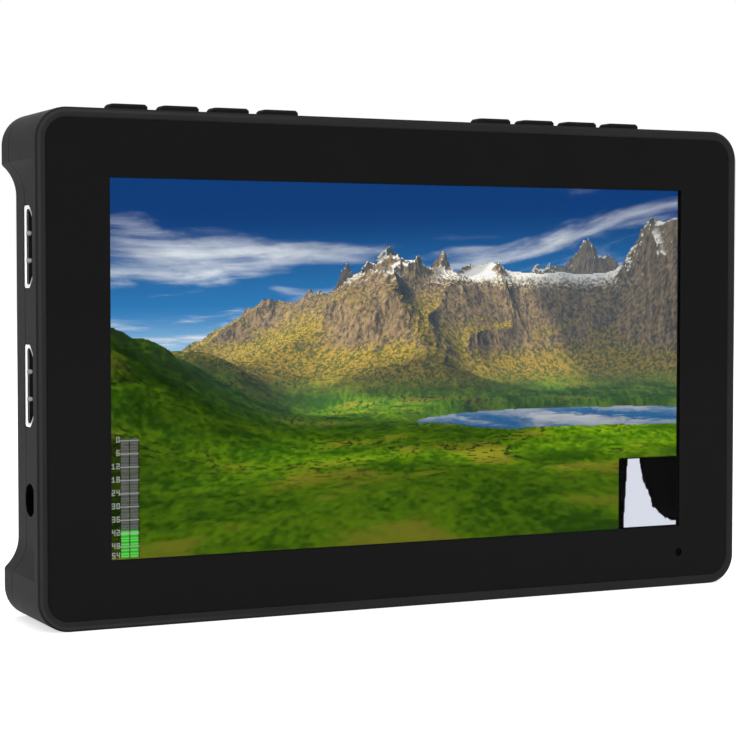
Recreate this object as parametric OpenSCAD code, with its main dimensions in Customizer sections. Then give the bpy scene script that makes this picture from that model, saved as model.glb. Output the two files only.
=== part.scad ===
// Camera field monitor of the 5.5 inch class, with a battery plate on its back.
// X runs to the viewer's right, Y from the screen to the back, Z up. The origin is in the middle of
// the footprint. Modules draw in a local frame: y = 0 is the front face, z = 0 the screen's centre.

/* [Body] */
// Width over the side walls
body_w = 149; // [146:0.5:156]
// Height without the keys
body_h = 93; // [91:0.5:100]
// Depth from the front face to the back face
body_d = 22.5; // [21.5:0.1:25]
// Radius of the four outer corners
corner_r = 5.8; // [5.3:0.1:8]
// Thickness of the moulded walls
wall = 1.6; // [1.3:0.1:2]
// Depth of the full-width lip behind the front face
lip_d = 2.5; // [2.3:0.1:3.2]
// Bevel on the outer edge of the front face
front_bevel = 0.5; // [0.2:0.1:0.8]
// Bevel on the inner edge of the front ring
ring_bevel = 0.25; // [0.1:0.05:0.4]
// Rounding of the back edge
back_round = 1.1; // [0.5:0.1:1.5]
// Depth of the rear cover, from the seam to the back face
cover_d = 5.7; // [4.9:0.1:6.4]

/* [Side waists] */
// How far the side walls are drawn in behind the lip
waist_depth = 2.9; // [2.5:0.05:4.2]
// Radius of the hollow curve at each end of a waist
waist_r = 7.2; // [5.5:0.1:7.4]
// Distance from the top and from the underside to the straight stretch of a waist
waist_end = 14.9; // [14:0.1:18]
// Chamfer where a waist meets the back face
waist_chamfer = 0.2; // [0.1:0.1:0.9]

/* [Glass and screen] */
// Width of the ring round the glass
ring_w = 1.85; // [1.5:0.05:2.2]
// Gap between the ring and the glass
glass_gap = 0.12; // [0.06:0.02:0.2]
// Thickness of the cover glass
glass_t = 1; // [0.7:0.1:1.1]
// How far the glass lies below the front face
glass_sink = 0.15; // [0.05:0.05:0.25]
// Thickness of the mounting tape and of the bonding layer
tape_t = 0.2; // [0.1:0.05:0.3]
// Width of the mounting tape
tape_w = 3.2; // [2:0.1:3.4]
// Distance from the body's side to the lit area
side_border = 13.62; // [12.5:0.01:18]
// Distance from the body's top and underside to the lit area
end_border = 12.255; // [11.5:0.005:15]
// Border of the screen module on three sides
panel_border = 1.5; // [1:0.1:1.8]
// Border of the screen module on its connector side
driver_border = 3.3; // [2.5:0.1:3.6]
// Thickness of the screen panel
panel_t = 1.3; // [1:0.1:1.5]
// Thickness of the backlight
backlight_t = 1.8; // [1.4:0.1:2.2]
// Sheet thickness of the tray round the backlight
tray_t = 0.4; // [0.3:0.05:0.5]
// Thickness of the foam pads behind the tray
foam_t = 0.5; // [0.3:0.1:0.8]

/* [Keys] */
// Width of a key
key_w = 7.4; // [6:0.1:7.8]
// Front-to-back size of a key
key_d = 4.7; // [4:0.1:5]
// How far a key stands above the top wall
key_rise = 1.8; // [1:0.1:2.2]
// Travel of a key
key_travel = 0.4; // [0.2:0.05:0.5]
// Distance from one key to the next, as a share of the body's width
pitch_share = 0.0678; // [0.0665:0.0001:0.07]
// Distance from the middle to the first key of each group, as a share of the body's width
start_share = 0.1564; // [0.15:0.0002:0.17]
// Distance from the seam to the middle of the keys
key_back = 4.45; // [4.1:0.05:5]
// Corner radius of a key
key_r = 1.1; // [0.6:0.1:1.6]
// Chamfer round the top of a key
key_chamfer = 0.4; // [0.2:0.1:0.6]
// Gap between a key and its opening
key_gap = 0.12; // [0.08:0.02:0.2]
// Side length of a switch body
switch_w = 5.2; // [4.5:0.1:5.6]
// Height of a switch body
switch_h = 2.6; // [2.2:0.1:3]

/* [Sockets] */
// Distance from the back face to the back of the main board, on which the sockets stand
board_deep = 10.5; // [10.1:0.1:10.9]
// Thickness of the main board and the key boards
board_t = 1.6; // [1:0.1:1.6]
// Distance from the top to the video output socket's middle
hdmi_out_down = 24.4; // [24:0.1:26.5]
// Height of the video input socket's middle, against the screen's centre
hdmi_in_z = -3.3; // [-4:0.1:2]
// Long side of a video socket's shell
hdmi_long = 15.05; // [14.8:0.05:15.4]
// Short side of a video socket's shell
hdmi_short = 5.5; // [5.3:0.05:5.7]
// Sheet thickness of a video socket's shell
hdmi_sheet = 0.45; // [0.3:0.05:0.5]
// Distance from the underside to the headphone socket's middle
phone_up = 22.3; // [21.5:0.1:26.5]
// Radius of the headphone plug's bore
phone_bore_r = 1.8; // [1.77:0.01:1.85]
// Radius of the opening for the headphone socket
phone_hole_r = 3.05; // [2.9:0.05:3.2]
// Distance from the top to the power socket's middle
dc_down = 25.5; // [23.5:0.5:30]
// Radius of the power plug's bore
dc_bore_r = 2.85; // [2.75:0.01:2.9]
// Height of the power socket's body above the main board
dc_tall = 7; // [6.6:0.1:7.1]
// Height of the round-ended data socket's middle, against the screen's centre
usb_z = -3; // [-8:0.5:4]

/* [Battery plate and tripod thread] */
// Width of the battery that the plate takes
battery_w = 38.4; // [37:0.1:40]
// Distance from the underside to the plate's lower end
plate_up = 10.5; // [8.5:0.1:10.7]
// Thickness of the plate's base
plate_t = 2.2; // [1.8:0.1:2.6]
// Height of the rails above the base
rail_h = 4.3; // [4.2:0.1:5]
// Thickness of the rails
rail_t = 2.6; // [2.2:0.1:3.2]
// How far the lips reach inwards from the rails
lip_reach = 1.5; // [1:0.1:2]
// Travel of the release button
release_travel = 2.4; // [2:0.1:2.6]
// Radius of the tripod thread
tripod_r = 3.175; // [3.1:0.005:3.25]
// Length of the tripod thread
tripod_len = 7; // [6:0.1:7.2]
// Wire diameter of the release spring
spring_wire = 0.5; // [0.4:0.05:0.55]
// Outer radius of the release spring
spring_r = 2.5; // [2.3:0.05:2.6]

/* [Inside] */
// Outer radius of the screw posts
post_r = 3; // [2.7:0.1:3.2]
// Gap between a corner post and the walls beside it
post_gap = 1.3; // [1:0.1:1.5]
// Thickness of the mid frame
mid_t = 1; // [0.8:0.1:1.2]
// Distance of the indicator window from the side wall's face
indicator_side = 13.7; // [12.5:0.1:15]
// Distance of the indicator window from the underside
indicator_up = 6.9; // [6.4:0.1:7.1]
// Radius of the indicator window
indicator_r = 0.8; // [0.6:0.05:0.9]
// Width of a vent slot
vent_w = 1.5; // [1:0.1:1.8]
// Length of a vent slot
vent_len = 17; // [12:0.5:19]
// Distance from one vent slot to the next
vent_pitch = 3.6; // [3.2:0.1:3.8]

/* [Hidden] */

$fn = 96;
cut = 1; // how far a cutter runs past the face that it opens
seat = 0.1; // gap between pieces that rest near each other
slip = 0.05; // radial gap of a screw or a stem in its hole
sink_in = 0.2; // how far a post, rib or rail runs into the wall that it grows from
room = 0.4; // room between close neighbours inside
wide_room = 0.9; // room round a post or a flange
head_gap = 0.2; // radial gap round a screw's head
shaft_gap = 0.15; // radial gap round a screw's shaft where it only passes through
lead_gap = 0.25; // radial gap round a lead

// Lit area
screen_w = body_w - 2 * side_border;
screen_h = body_h - 2 * end_border;

// Places along Y
ledge_y = glass_sink + glass_t + tape_t;
glass_back_y = glass_sink + glass_t;
panel_back_y = ledge_y + panel_t;
backlight_back_y = panel_back_y + backlight_t;
tray_back_y = backlight_back_y + tray_t;
mid_y = tray_back_y + foam_t;
mid_back_y = mid_y + mid_t;
board_y = body_d - board_deep;
board_front_y = board_y - board_t;
seam_y = body_d - cover_d;
key_y = seam_y - key_back;
cover_in_y = body_d - wall;
plate_y = body_d + plate_t;
total_d = plate_y + rail_h;

// Places across
top_in_z = body_h / 2 - wall;
waist_x = body_w / 2 - waist_depth;
waist_in_x = waist_x - wall;
waist_straight = body_h - 2 * waist_end;
post_x = body_w / 2 - wall - post_gap - post_r;
post_z = body_h / 2 - wall - post_gap - post_r;
recess_w = body_w - 2 * ring_w;
recess_h = body_h - 2 * ring_w;
recess_r = corner_r - ring_w;

// Screen module: its connector side is the right one
panel_left_x = -screen_w / 2 - panel_border;
panel_right_x = screen_w / 2 + driver_border;
panel_top_z = screen_h / 2 + panel_border;
panel_gap = 0.5;
flange_t = 0.3;
flange_gap = 0.05;

// Screws
case_screw_r = 1.25;
case_head_r = 2.3;
case_head_h = 1.6;
case_screw_len = 10;
case_seat_y = body_d - case_head_h - 2 * room;
small_screw_r = 1;
small_head_r = 1.8;
small_head_h = 1.2;
post_top_y = seam_y - 2 * wide_room;
foot_post_x = 12.5;
foot_post_z = wide_room + post_r - top_in_z;
case_posts = [
    [-post_x, post_z],
    [post_x, post_z],
    [-post_x, -post_z],
    [post_x, -post_z],
    [-foot_post_x, foot_post_z],
    [foot_post_x, foot_post_z],
];

// Mid frame, with tabs that reach out to the bosses on the front shell's ledge
mid_side_gap = 2;
mid_half_w = waist_in_x - mid_side_gap;
mid_half_h = post_z - post_r - room;
tab_r = 3.4;
tab_post_gap = 18.6;
tab_x = [20, post_x - tab_post_gap];
boss_r = 2.4;
boss_z = post_z;
window_rib = 12; // between the two windows
window_side = 23.5; // beside them
window_end = 15.2; // above and below them
window_r = 3;

// Keys: levels from the top wall down
key_names = [1, 2, 3, 4];
key_flange_t = 0.8;
key_flange_side = 0.7;
key_pitch = pitch_share * body_w;
key_start = start_share * body_w;
key_flange_top_z = top_in_z - seat;
key_flange_z = key_flange_top_z - key_flange_t;
key_top_z = body_h / 2 + key_rise;
stem_r = 1.5;
stem_len = 1.8;
stem_z = key_flange_z - stem_len;
plunger_r = 1;
plunger_in = 1.4; // depth of the plunger's lower end inside the switch body
switch_gap = 0.2; // between the pressed stem and the switch body
switch_top_z = stem_z - key_travel - switch_gap;
switch_z = switch_top_z - switch_h;
key_board_z = switch_z - board_t;
key_board_front_gap = 1.05; // from the inner screws' heads
key_board_back_gap = 0.7; // from the seam
key_board_front_y = mid_back_y + small_head_h + key_board_front_gap;
key_board_back_y = seam_y - key_board_back_gap;
bracket_t = 2.2;
bracket_face_t = 0.6; // in front of the key board
bracket_low = 1; // below the key board
groove_in = 1.2;
rib_t = 1.5;
rib_side = 0.5;
rib_h = 3.8;
key_end = key_start + 3 * key_pitch;
bracket_in_x = key_start - key_w / 2 - key_flange_side - room;
bracket_out_x = key_end + key_w / 2 + key_flange_side + room;

// Main board
board_half_w = waist_in_x - room;
board_top_z = key_board_z - 2 * wide_room;
board_low_z = foot_post_z + post_r + wide_room;
standoff_r = 2.6;
standoff_side = 15.1; // from the main board's ends, its upper and its lower edge
standoff_down = 4.6;
standoff_up = 4.1;
standoff_x = board_half_w - standoff_side;
standoff_top_z = board_top_z - standoff_down;
standoff_low_z = board_low_z + standoff_up;
standoffs = [
    [-standoff_x, standoff_top_z],
    [standoff_x, standoff_top_z],
    [-standoff_x, standoff_low_z],
    [standoff_x, standoff_low_z],
];
indicator_x = body_w / 2 - indicator_side;
indicator_z = indicator_up - body_h / 2;
led_w = 1.6;
led_d = 0.8;
led_h = 0.5;
led_tab_half = 3.2;
led_tab_low = 2.2;

// Sockets
port_gap = 0.15; // gap between a socket and its opening
port_out_x = waist_x - seat;
hdmi_out_z = body_h / 2 - hdmi_out_down;
phone_z = phone_up - body_h / 2;
dc_z = body_h / 2 - dc_down;
hdmi_deep = 12;
hdmi_narrow = 5.6; // half of the long side where the shell is narrow
hdmi_slope = 2.4; // where the slanted sides end, from the narrow side
hdmi_corner = 0.45;
phone_tall = 5.2;
phone_wide = 6.2;
phone_deep = 13;
phone_nose_r = phone_hole_r - seat;
phone_bore_deep = 11.5;
dc_wide = 8.6;
dc_deep = 12.5;
dc_hole_r = 3.3;
dc_bore_deep = 10;
dc_pin_r = 1;
dc_pin_down = 1.2; // from the socket's mouth to the pin's tip
usb_long = 8.94;
usb_short = 3.2;
usb_sheet = 0.3;
usb_deep = 7.4;

// Heat sink, under the vents and clear of the release button
chip_w = 17;
chip_h = 1.5;
pad_w = 15;
pad_t = 0.8;
chip_x = 4;
chip_z = -1;
sink_side_gap = 45.4;
sink_w = 2 * (board_half_w - sink_side_gap);
sink_h = 36;
sink_t = 1.2;
sink_y = board_y + chip_h + pad_t;
fin_gap = 1; // between the fins and the rear cover
fin_top_y = cover_in_y - fin_gap;
fin_t = 1;
fin_pitch = 3.6;
fin_count = floor(sink_w / fin_pitch);
sink_ear = 4;
sink_ear_r = 2.6;

// Release button, above the battery plate
release_w = 14;
release_h = 7.5;
release_r = 1;
release_gap = 0.15;
release_flange_t = 1.2;
release_flange_side = 0.6;
release_z = top_in_z - wide_room - release_flange_side - release_h / 2;
release_low_z = release_z - release_h / 2;
release_pad_y = plate_y - room;
release_tooth_y = plate_y + release_travel - 2 * seat;
release_tooth_w = 10;
release_tooth_t = 0.7;
release_ramp = 1.6;
release_flange_y = cover_in_y - seat - release_flange_t;
release_face_t = 1.3; // between the pad's face and the spring
release_pocket_r = spring_r + room;
release_pocket_y = release_pad_y - release_face_t;
release_grip_w = 10;
release_grip_t = 0.7;
release_grip_deep = 0.4;
release_grip_pitch = 1.5;
release_grip_z = release_low_z + 3.3;
spring_len = 9.4;
spring_seat_y = release_pocket_y - spring_len;
spigot_r = spring_r - spring_wire - 0.3;
spigot_len = 2;
spring_post_r = spring_r + 0.6;
spring_turns = 7;
spring_rings = 14;
spring_sides = 6;

// Battery plate: rails on both sides and a wall at its lower end
battery_gap = 0.25;
rail_in_x = battery_w / 2 + battery_gap;
plate_w = 2 * (rail_in_x + rail_t);
plate_r = 2;
plate_low_z = plate_up - body_h / 2;
plate_top_z = release_low_z - 1;
plate_h = plate_top_z - plate_low_z;
end_wall_t = 1.6;
lip_t = 1.2;
lip_len = 14;
low_lip_up = 10;
top_lip_down = 26.9;
lip_starts = [plate_low_z + low_lip_up, plate_top_z - top_lip_down];
plate_screw_x = 14;
plate_screw_down = 6.9;
plate_screw_z = plate_top_z - plate_screw_down;
plate_screw_len = 6;
plate_head_h = 1.5;
plate_seat_y = plate_y - plate_head_h - seat;
plate_boss_r = 2.4;
plate_boss_len = 3.5;
block_w = 22;
block_h = 4.2;
block_t = 3.4;
block_z = plate_low_z + end_wall_t;
blade_w = 2.2;
blade_t = 0.8;
blade_len = 5;
blade_pitch = 5;

// Leads from the terminals to their plug on the main board
lead_r = 0.65;
lead_bend = 2;
lead_z = block_z + block_h / 2;
lead_side = 3;
lead_step = 0.9;
lead_places = [
    [-lead_side, lead_z - lead_step],
    [lead_side, lead_z + lead_step],
];
lead_cover_gap = 2.4;
lead_turn_y = cover_in_y - lead_cover_gap;
plug_x = -18;
plug_w = 4.5;
plug_h = 5.4;
plug_t = 2.9;

// Vents, two rows on each side of the battery plate
vent_plate_gap = 6;
vent_side_gap = 11;
vent_start = plate_w / 2 + vent_plate_gap;
vent_end = waist_in_x - vent_side_gap;
vent_count = floor((vent_end - vent_start) / vent_pitch) + 1;
vent_row_gap = 4;
vent_row_z = (vent_len + vent_row_gap) / 2;

// Tongues of the rear cover that reach into the front shell
tongue_t = 0.8;
tongue_len = 1.2;
tongue_root = 1; // how far a tongue's root reaches behind the seam
tongue_gap = 0.8;
top_tongues = [
    [release_w / 2 + release_flange_side + 2, bracket_in_x - bracket_t - tongue_gap],
    [bracket_out_x + bracket_t + tongue_gap, post_x - post_r - tongue_gap],
];
low_tongue = [foot_post_x + post_r + tongue_gap, post_x - post_r - 3 * tongue_gap];

// Connectors and power parts on the main board
socket_t = 1.6;
key_socket_gap = 16; // from the standoffs' middle
key_socket_x = standoff_x - key_socket_gap;
key_socket_w = 10;
key_socket_h = 3.4;
key_socket_z = standoff_top_z;
key_ribbon_w = 8;
panel_socket_w = 28;
panel_socket_h = 4;
panel_socket_z = -22;
panel_ribbon_w = 24;
ribbon_t = 0.15;
coil_w = 7;
coil_h = 4.5;
coil_r = 1.4;
coil_side = 22.1; // from the main board's end to the outer coils
coil_down = 13.1; // from its upper edge to the upper coils
coil_step_x = 9;
coil_step_z = 8.5;
coil_places = [
    for (i = [0, 1], j = [0, 1])
        [board_half_w - coil_side - i * coil_step_x, board_top_z - coil_down - j * coil_step_z]
];
capacitor_r = 2.5;
capacitor_h = 5.4;
capacitor_step = 7;
right_capacitor_side = 19.1;
right_capacitor_up = 17.1;
left_capacitor_side = 28.1;
left_capacitor_up = 13.1;
right_capacitors = [
    for (i = [0 : 2])
        [board_half_w - right_capacitor_side - i * capacitor_step, board_low_z + right_capacitor_up]
];
left_capacitors = [
    for (i = [0, 1])
        [left_capacitor_side + i * capacitor_step - board_half_w, board_low_z + left_capacitor_up]
];

// Tripod insert in its boss on the bottom wall
insert_r = 4.6;
insert_cap = 1;
insert_boss_wall = 1.2;
insert_y = seam_y - insert_r - insert_boss_wall - 0.25;
insert_top_z = tripod_len + insert_cap - body_h / 2;
insert_boss_z = insert_top_z - 1.5;

// Local frame to the part's frame
module placed() {
    translate([0, -total_d / 2, body_h / 2])
        children();
}

// A flat shape in X and Z, drawn out along Y
module along_y(y0, y1) {
    translate([0, y1, 0])
        rotate([90, 0, 0])
            linear_extrude(y1 - y0)
                children();
}

// A flat shape in Y and Z, drawn out along X
module along_x(x0, x1) {
    translate([x0, 0, 0])
        rotate([90, 0, 90])
            linear_extrude(x1 - x0)
                children();
}

module rod_y(x, z, y0, y1, r) {
    translate([x, y0, z])
        rotate([-90, 0, 0])
            cylinder(h = y1 - y0, r = r);
}

module rod_x(y, z, x0, x1, r) {
    translate([x0, y, z])
        rotate([0, 90, 0])
            cylinder(h = x1 - x0, r = r);
}

module rod_z(x, y, z0, z1, r) {
    translate([x, y, z0])
        cylinder(h = z1 - z0, r = r);
}

// A box from its lowest to its highest corner
module span(low, high) {
    translate(low)
        cube(high - low);
}

module rounded_rect(w, h, r) {
    square([w - 2 * r, h], center = true);
    square([w, h - 2 * r], center = true);
    for (x = [-1, 1], y = [-1, 1])
        translate([x * (w / 2 - r), y * (h / 2 - r)])
            circle(r);
}

// A straight band of height straight, with a round end on its top and bottom
module stadium(r, straight) {
    square([2 * r, straight], center = true);
    for (y = [-1, 1])
        translate([0, y * straight / 2])
            circle(r);
}

// A strip of even thickness along points, with round bends
module strip(points, t) {
    for (i = [0 : len(points) - 2]) {
        run = points[i + 1] - points[i];
        translate(points[i])
            rotate(atan2(run[1], run[0]))
                translate([0, -t / 2])
                    square([norm(run), t]);
    }
    for (i = [1 : 1 : len(points) - 2])
        translate(points[i])
            circle(d = t);
}

// The body's outline behind the lip: a rounded rectangle, drawn in by a waist on each side
module waist_outline(inset) {
    difference() {
        rounded_rect(body_w - 2 * inset, body_h - 2 * inset, corner_r - inset);
        for (side = [-1, 1])
            translate([side * (waist_x + waist_r), 0])
                stadium(waist_r + inset, waist_straight);
    }
}

// A rounded slab along +Z that grows by the flare on every side on its way up
module flared_slab(w, h, r, t, flare) {
    for (x = [-1, 1], y = [-1, 1])
        translate([x * (w / 2 - r), y * (h / 2 - r), 0])
            cylinder(h = t, r1 = r, r2 = r + flare);
    translate([r - w / 2, 0, 0])
        rotate([90, 0, 90])
            linear_extrude(w - 2 * r)
                trapezoid(h / 2, flare, t);
    translate([0, h / 2 - r, 0])
        rotate([90, 0, 0])
            linear_extrude(h - 2 * r)
                trapezoid(w / 2, flare, t);
}

module trapezoid(half, flare, t) {
    polygon([[-half, 0], [half, 0], [half + flare, t], [-half - flare, t]]);
}

// A rounded slab along +Z whose top edge is rounded all the way round
module rounded_slab(w, h, r, t, edge) {
    for (x = [-1, 1], y = [-1, 1])
        translate([x * (w / 2 - r), y * (h / 2 - r), 0])
            rotate_extrude() {
                square([r, t - edge]);
                square([r - edge, t]);
                translate([r - edge, t - edge])
                    circle(edge);
            }
    translate([r - w / 2, 0, 0])
        rotate([90, 0, 90])
            linear_extrude(w - 2 * r)
                rounded_section(h / 2, t, edge);
    translate([0, h / 2 - r, 0])
        rotate([90, 0, 0])
            linear_extrude(h - 2 * r)
                rounded_section(w / 2, t, edge);
}

module rounded_section(half, t, edge) {
    translate([-half, 0])
        square([2 * half, t - edge]);
    translate([edge - half, 0])
        square([2 * (half - edge), t]);
    for (side = [-1, 1])
        translate([side * (half - edge), t - edge])
            circle(edge);
}

// Cutter that flares a waist's wall out where it meets the back face
module waist_flare(side) {
    flare = waist_chamfer + seat;
    translate([side * (waist_x + waist_r), body_d - waist_chamfer, 0])
        rotate([-90, 0, 0]) {
            for (y = [-1, 1])
                translate([0, y * waist_straight / 2, 0])
                    cylinder(h = flare, r1 = waist_r, r2 = waist_r + flare);
            translate([0, waist_straight / 2, 0])
                rotate([90, 0, 0])
                    linear_extrude(waist_straight)
                        trapezoid(waist_r, flare, flare);
        }
}

module hdmi_outline(inset) {
    long = hdmi_long / 2 - inset;
    narrow = hdmi_narrow - inset;
    high = hdmi_short - inset;
    polygon([
        [inset, -narrow],
        [hdmi_slope, -long],
        [high - hdmi_corner, -long],
        [high, hdmi_corner - long],
        [high, long - hdmi_corner],
        [high - hdmi_corner, long],
        [hdmi_slope, long],
        [inset, narrow],
    ]);
}

module usb_outline(grow) {
    translate([usb_short / 2, 0])
        stadium(usb_short / 2 + grow, usb_long - usb_short);
}

// What the sockets need out of both halves of the body
module port_cutters() {
    reach = waist_depth + wall + cut;
    for (z = [hdmi_in_z, hdmi_out_z])
        translate([-waist_x - cut, board_y, z])
            along_x(0, reach)
                hdmi_outline(-port_gap);
    rod_x(board_y + phone_tall / 2, phone_z, -waist_x - cut, -waist_x + reach, phone_hole_r);
    rod_x(board_y + dc_tall / 2, dc_z, waist_x - reach, waist_x + cut, dc_hole_r);
    translate([waist_x - reach, board_y, usb_z])
        along_x(0, reach + cut)
            usb_outline(port_gap);
}

// Holes in the top wall, one for each key
module key_cutters() {
    for (side = [-1, 1], i = key_names)
        translate([side * key_x(i), key_y, top_in_z - cut])
            linear_extrude(wall + 2 * cut)
                rounded_rect(key_w + 2 * key_gap, key_d + 2 * key_gap, key_r + key_gap);
}

function key_x(i) = key_start + (i - 1) * key_pitch;

// Bracket under the top wall, from x0 to x1, with a groove for the end of a key board
module key_bracket(x0, x1, groove_x) {
    back_y = key_board_back_y + seat;
    front_y = key_board_front_y - bracket_face_t;
    difference() {
        span([x0, front_y, key_board_z - bracket_low], [x1, back_y, top_in_z + sink_in]);
        span(
            [groove_x, key_board_front_y - seat, key_board_z - slip],
            [groove_x + groove_in + seat + cut, back_y + cut, key_board_z + board_t + slip]
        );
    }
}

module front_shell() {
    placed() color("#2b2b2b") {
        difference() {
            union() {
                front_lip();
                along_y(lip_d - sink_in, seam_y)
                    waist_outline(0);
            }
            along_y(-cut, ledge_y)
                rounded_rect(recess_w, recess_h, recess_r);
            ring_inner_bevel();
            along_y(0, lip_d + cut)
                panel_opening();
            along_y(lip_d, seam_y + cut)
                waist_outline(wall);
            port_cutters();
            key_cutters();
            rod_y(indicator_x, indicator_z, 0, lip_d + cut, indicator_r);
            rod_z(0, insert_y, -body_h / 2 - cut, -top_in_z + cut, insert_r + slip);
        }
        for (p = case_posts)
            screw_post(p, post_r, lip_d - sink_in, post_top_y, case_screw_r);
        for (x = tab_x, side = [-1, 1], z = [-boss_z, boss_z])
            screw_post([side * x, z], boss_r, lip_d - sink_in, mid_y, small_screw_r);
        for (side = [0, 1])
            mirror([side, 0, 0]) {
                key_bracket(
                    bracket_in_x - bracket_t,
                    bracket_in_x,
                    bracket_in_x - groove_in - seat
                );
                key_bracket(bracket_out_x, bracket_out_x + bracket_t, bracket_out_x - cut);
            }
        spring_post();
        insert_boss();
    }
}

// The full-width front of the shell, with its bevelled outer edge
module front_lip() {
    intersection() {
        along_y(-cut, lip_d)
            rounded_rect(body_w, body_h, corner_r);
        rotate([-90, 0, 0])
            flared_slab(
                body_w - 2 * front_bevel,
                body_h - 2 * front_bevel,
                corner_r - front_bevel,
                lip_d + cut,
                lip_d + cut
            );
    }
}

// Cutter for the bevel on the ring's inner edge
module ring_inner_bevel() {
    t = ring_bevel + seat;
    translate([0, ring_bevel, 0])
        rotate([90, 0, 0])
            flared_slab(recess_w, recess_h, recess_r, t, t);
}

module panel_opening() {
    translate([panel_left_x - panel_gap, -panel_top_z - panel_gap])
        square([
            panel_right_x - panel_left_x + 2 * panel_gap,
            2 * (panel_top_z + panel_gap),
        ]);
}

module screw_post(p, r, y0, y1, screw_r) {
    difference() {
        rod_y(p[0], p[1], y0, y1, r);
        rod_y(p[0], p[1], lip_d, y1 + cut, screw_r + slip);
    }
}

// Post behind the release button: its spigot centres the spring
module spring_post() {
    rod_y(0, release_z, lip_d - sink_in, spring_seat_y, spring_post_r);
    rod_y(0, release_z, spring_seat_y - sink_in, spring_seat_y + spigot_len, spigot_r);
}

module insert_boss() {
    difference() {
        rod_z(0, insert_y, -top_in_z - sink_in, insert_boss_z, insert_r + insert_boss_wall);
        rod_z(0, insert_y, -top_in_z - cut, insert_top_z, insert_r + slip);
    }
}

// Slots of one vent field
module vent_cutters() {
    for (side = [-1, 1], row = [-1, 1], i = [0 : vent_count - 1])
        translate([side * (vent_start + i * vent_pitch), cover_in_y - cut, row * vent_row_z])
            along_y(0, wall + 2 * cut)
                stadium(vent_w / 2, vent_len - vent_w);
}

// One tongue under the top wall of the rear cover, with its root on that wall
module cover_tongue(ends) {
    high = top_in_z - seat;
    low = high - tongue_t;
    root_y = seam_y + tongue_root;
    span([ends[0], seam_y - tongue_len, low], [ends[1], root_y, high]);
    span([ends[0], seam_y, low], [ends[1], root_y, top_in_z + sink_in]);
}

// Ribs that hold a key board in its grooves
module key_board_ribs() {
    y0 = key_board_back_y + 2 * seat;
    z0 = key_board_z - bracket_low;
    for (x = [bracket_in_x + rib_side, bracket_out_x - rib_side - rib_t])
        span([x, y0, z0], [x + rib_t, cover_in_y + sink_in, z0 + rib_h]);
}

module rear_cover() {
    placed() color("#2b2b2b")
        difference() {
            union() {
                difference() {
                    intersection() {
                        translate([0, seam_y, 0])
                            rotate([-90, 0, 0])
                                rounded_slab(body_w, body_h, corner_r, cover_d, back_round);
                        along_y(seam_y, body_d)
                            waist_outline(0);
                    }
                    for (side = [-1, 1])
                        waist_flare(side);
                    along_y(seam_y - cut, cover_in_y)
                        waist_outline(wall);
                }
                for (side = [0, 1])
                    mirror([side, 0, 0]) {
                        for (ends = top_tongues)
                            cover_tongue(ends);
                        mirror([0, 0, 1])
                            cover_tongue(low_tongue);
                        key_board_ribs();
                    }
                for (p = case_posts)
                    rod_y(p[0], p[1], post_top_y + seat, cover_in_y + sink_in, post_r);
                for (x = [-plate_screw_x, plate_screw_x], z = [-plate_screw_z, plate_screw_z])
                    rod_y(x, z, cover_in_y - plate_boss_len, cover_in_y + sink_in, plate_boss_r);
            }
            port_cutters();
            vent_cutters();
            for (p = case_posts) {
                rod_y(p[0], p[1], case_seat_y, body_d + cut, case_head_r + head_gap);
                rod_y(p[0], p[1], 0, body_d, case_screw_r + shaft_gap);
            }
            for (x = [-plate_screw_x, plate_screw_x], z = [-plate_screw_z, plate_screw_z])
                rod_y(x, z, 0, body_d + cut, case_screw_r + slip);
            for (p = lead_places)
                rod_y(p[0], p[1], 0, body_d + cut, lead_r + lead_gap);
            translate([0, 0, release_z])
                along_y(cover_in_y - cut, body_d + cut)
                    rounded_rect(
                        release_w + 2 * release_gap,
                        release_h + 2 * release_gap,
                        release_r + release_gap
                    );
        }
}

module glass_outline(inset) {
    rounded_rect(recess_w - 2 * inset, recess_h - 2 * inset, recess_r - inset);
}

module cover_glass() {
    placed() color("#151515")
        difference() {
            along_y(glass_sink, glass_back_y)
                glass_outline(glass_gap);
            rod_y(indicator_x, indicator_z, 0, glass_back_y + cut, indicator_r);
        }
}

module glass_tape() {
    edge = glass_gap + 0.3;
    inner = 2 * (edge + tape_w);
    placed() color("#101010")
        along_y(glass_back_y, ledge_y)
            difference() {
                glass_outline(edge);
                square([recess_w - inner, recess_h - inner], center = true);
            }
}

module bonding_layer() {
    margin = panel_border - 0.6;
    placed() color("#dfe6ea")
        along_y(glass_back_y, ledge_y)
            square([screen_w + 2 * margin, screen_h + 2 * margin], center = true);
}

// Outline of the screen module, drawn in by the inset
module panel_outline(inset) {
    translate([panel_left_x + inset, inset - panel_top_z])
        square([panel_right_x - panel_left_x - 2 * inset, 2 * (panel_top_z - inset)]);
}

module lcd_panel() {
    placed() color("#26333d")
        along_y(ledge_y, panel_back_y)
            panel_outline(0);
}

module backlight() {
    placed() color("#e8eaee")
        along_y(panel_back_y, backlight_back_y)
            panel_outline(flange_t + flange_gap);
}

module panel_tray() {
    placed() color("#b4b8bb")
        difference() {
            along_y(panel_back_y, tray_back_y)
                panel_outline(0);
            along_y(panel_back_y - cut, backlight_back_y)
                panel_outline(flange_t);
        }
}

// Four strips between the tray and the mid frame
module foam_pads() {
    strip_w = 3;
    inset = 4;
    end_gap = 16;
    placed() color("#3a3a3c")
        along_y(tray_back_y, mid_y)
            for (side = [-1, 1]) {
                translate([0, side * (screen_h / 2 - inset)])
                    square([screen_w - 2 * end_gap, strip_w], center = true);
                translate([side * (screen_w / 2 - inset), 0])
                    square([strip_w, screen_h - 2 * end_gap], center = true);
            }
}

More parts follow.
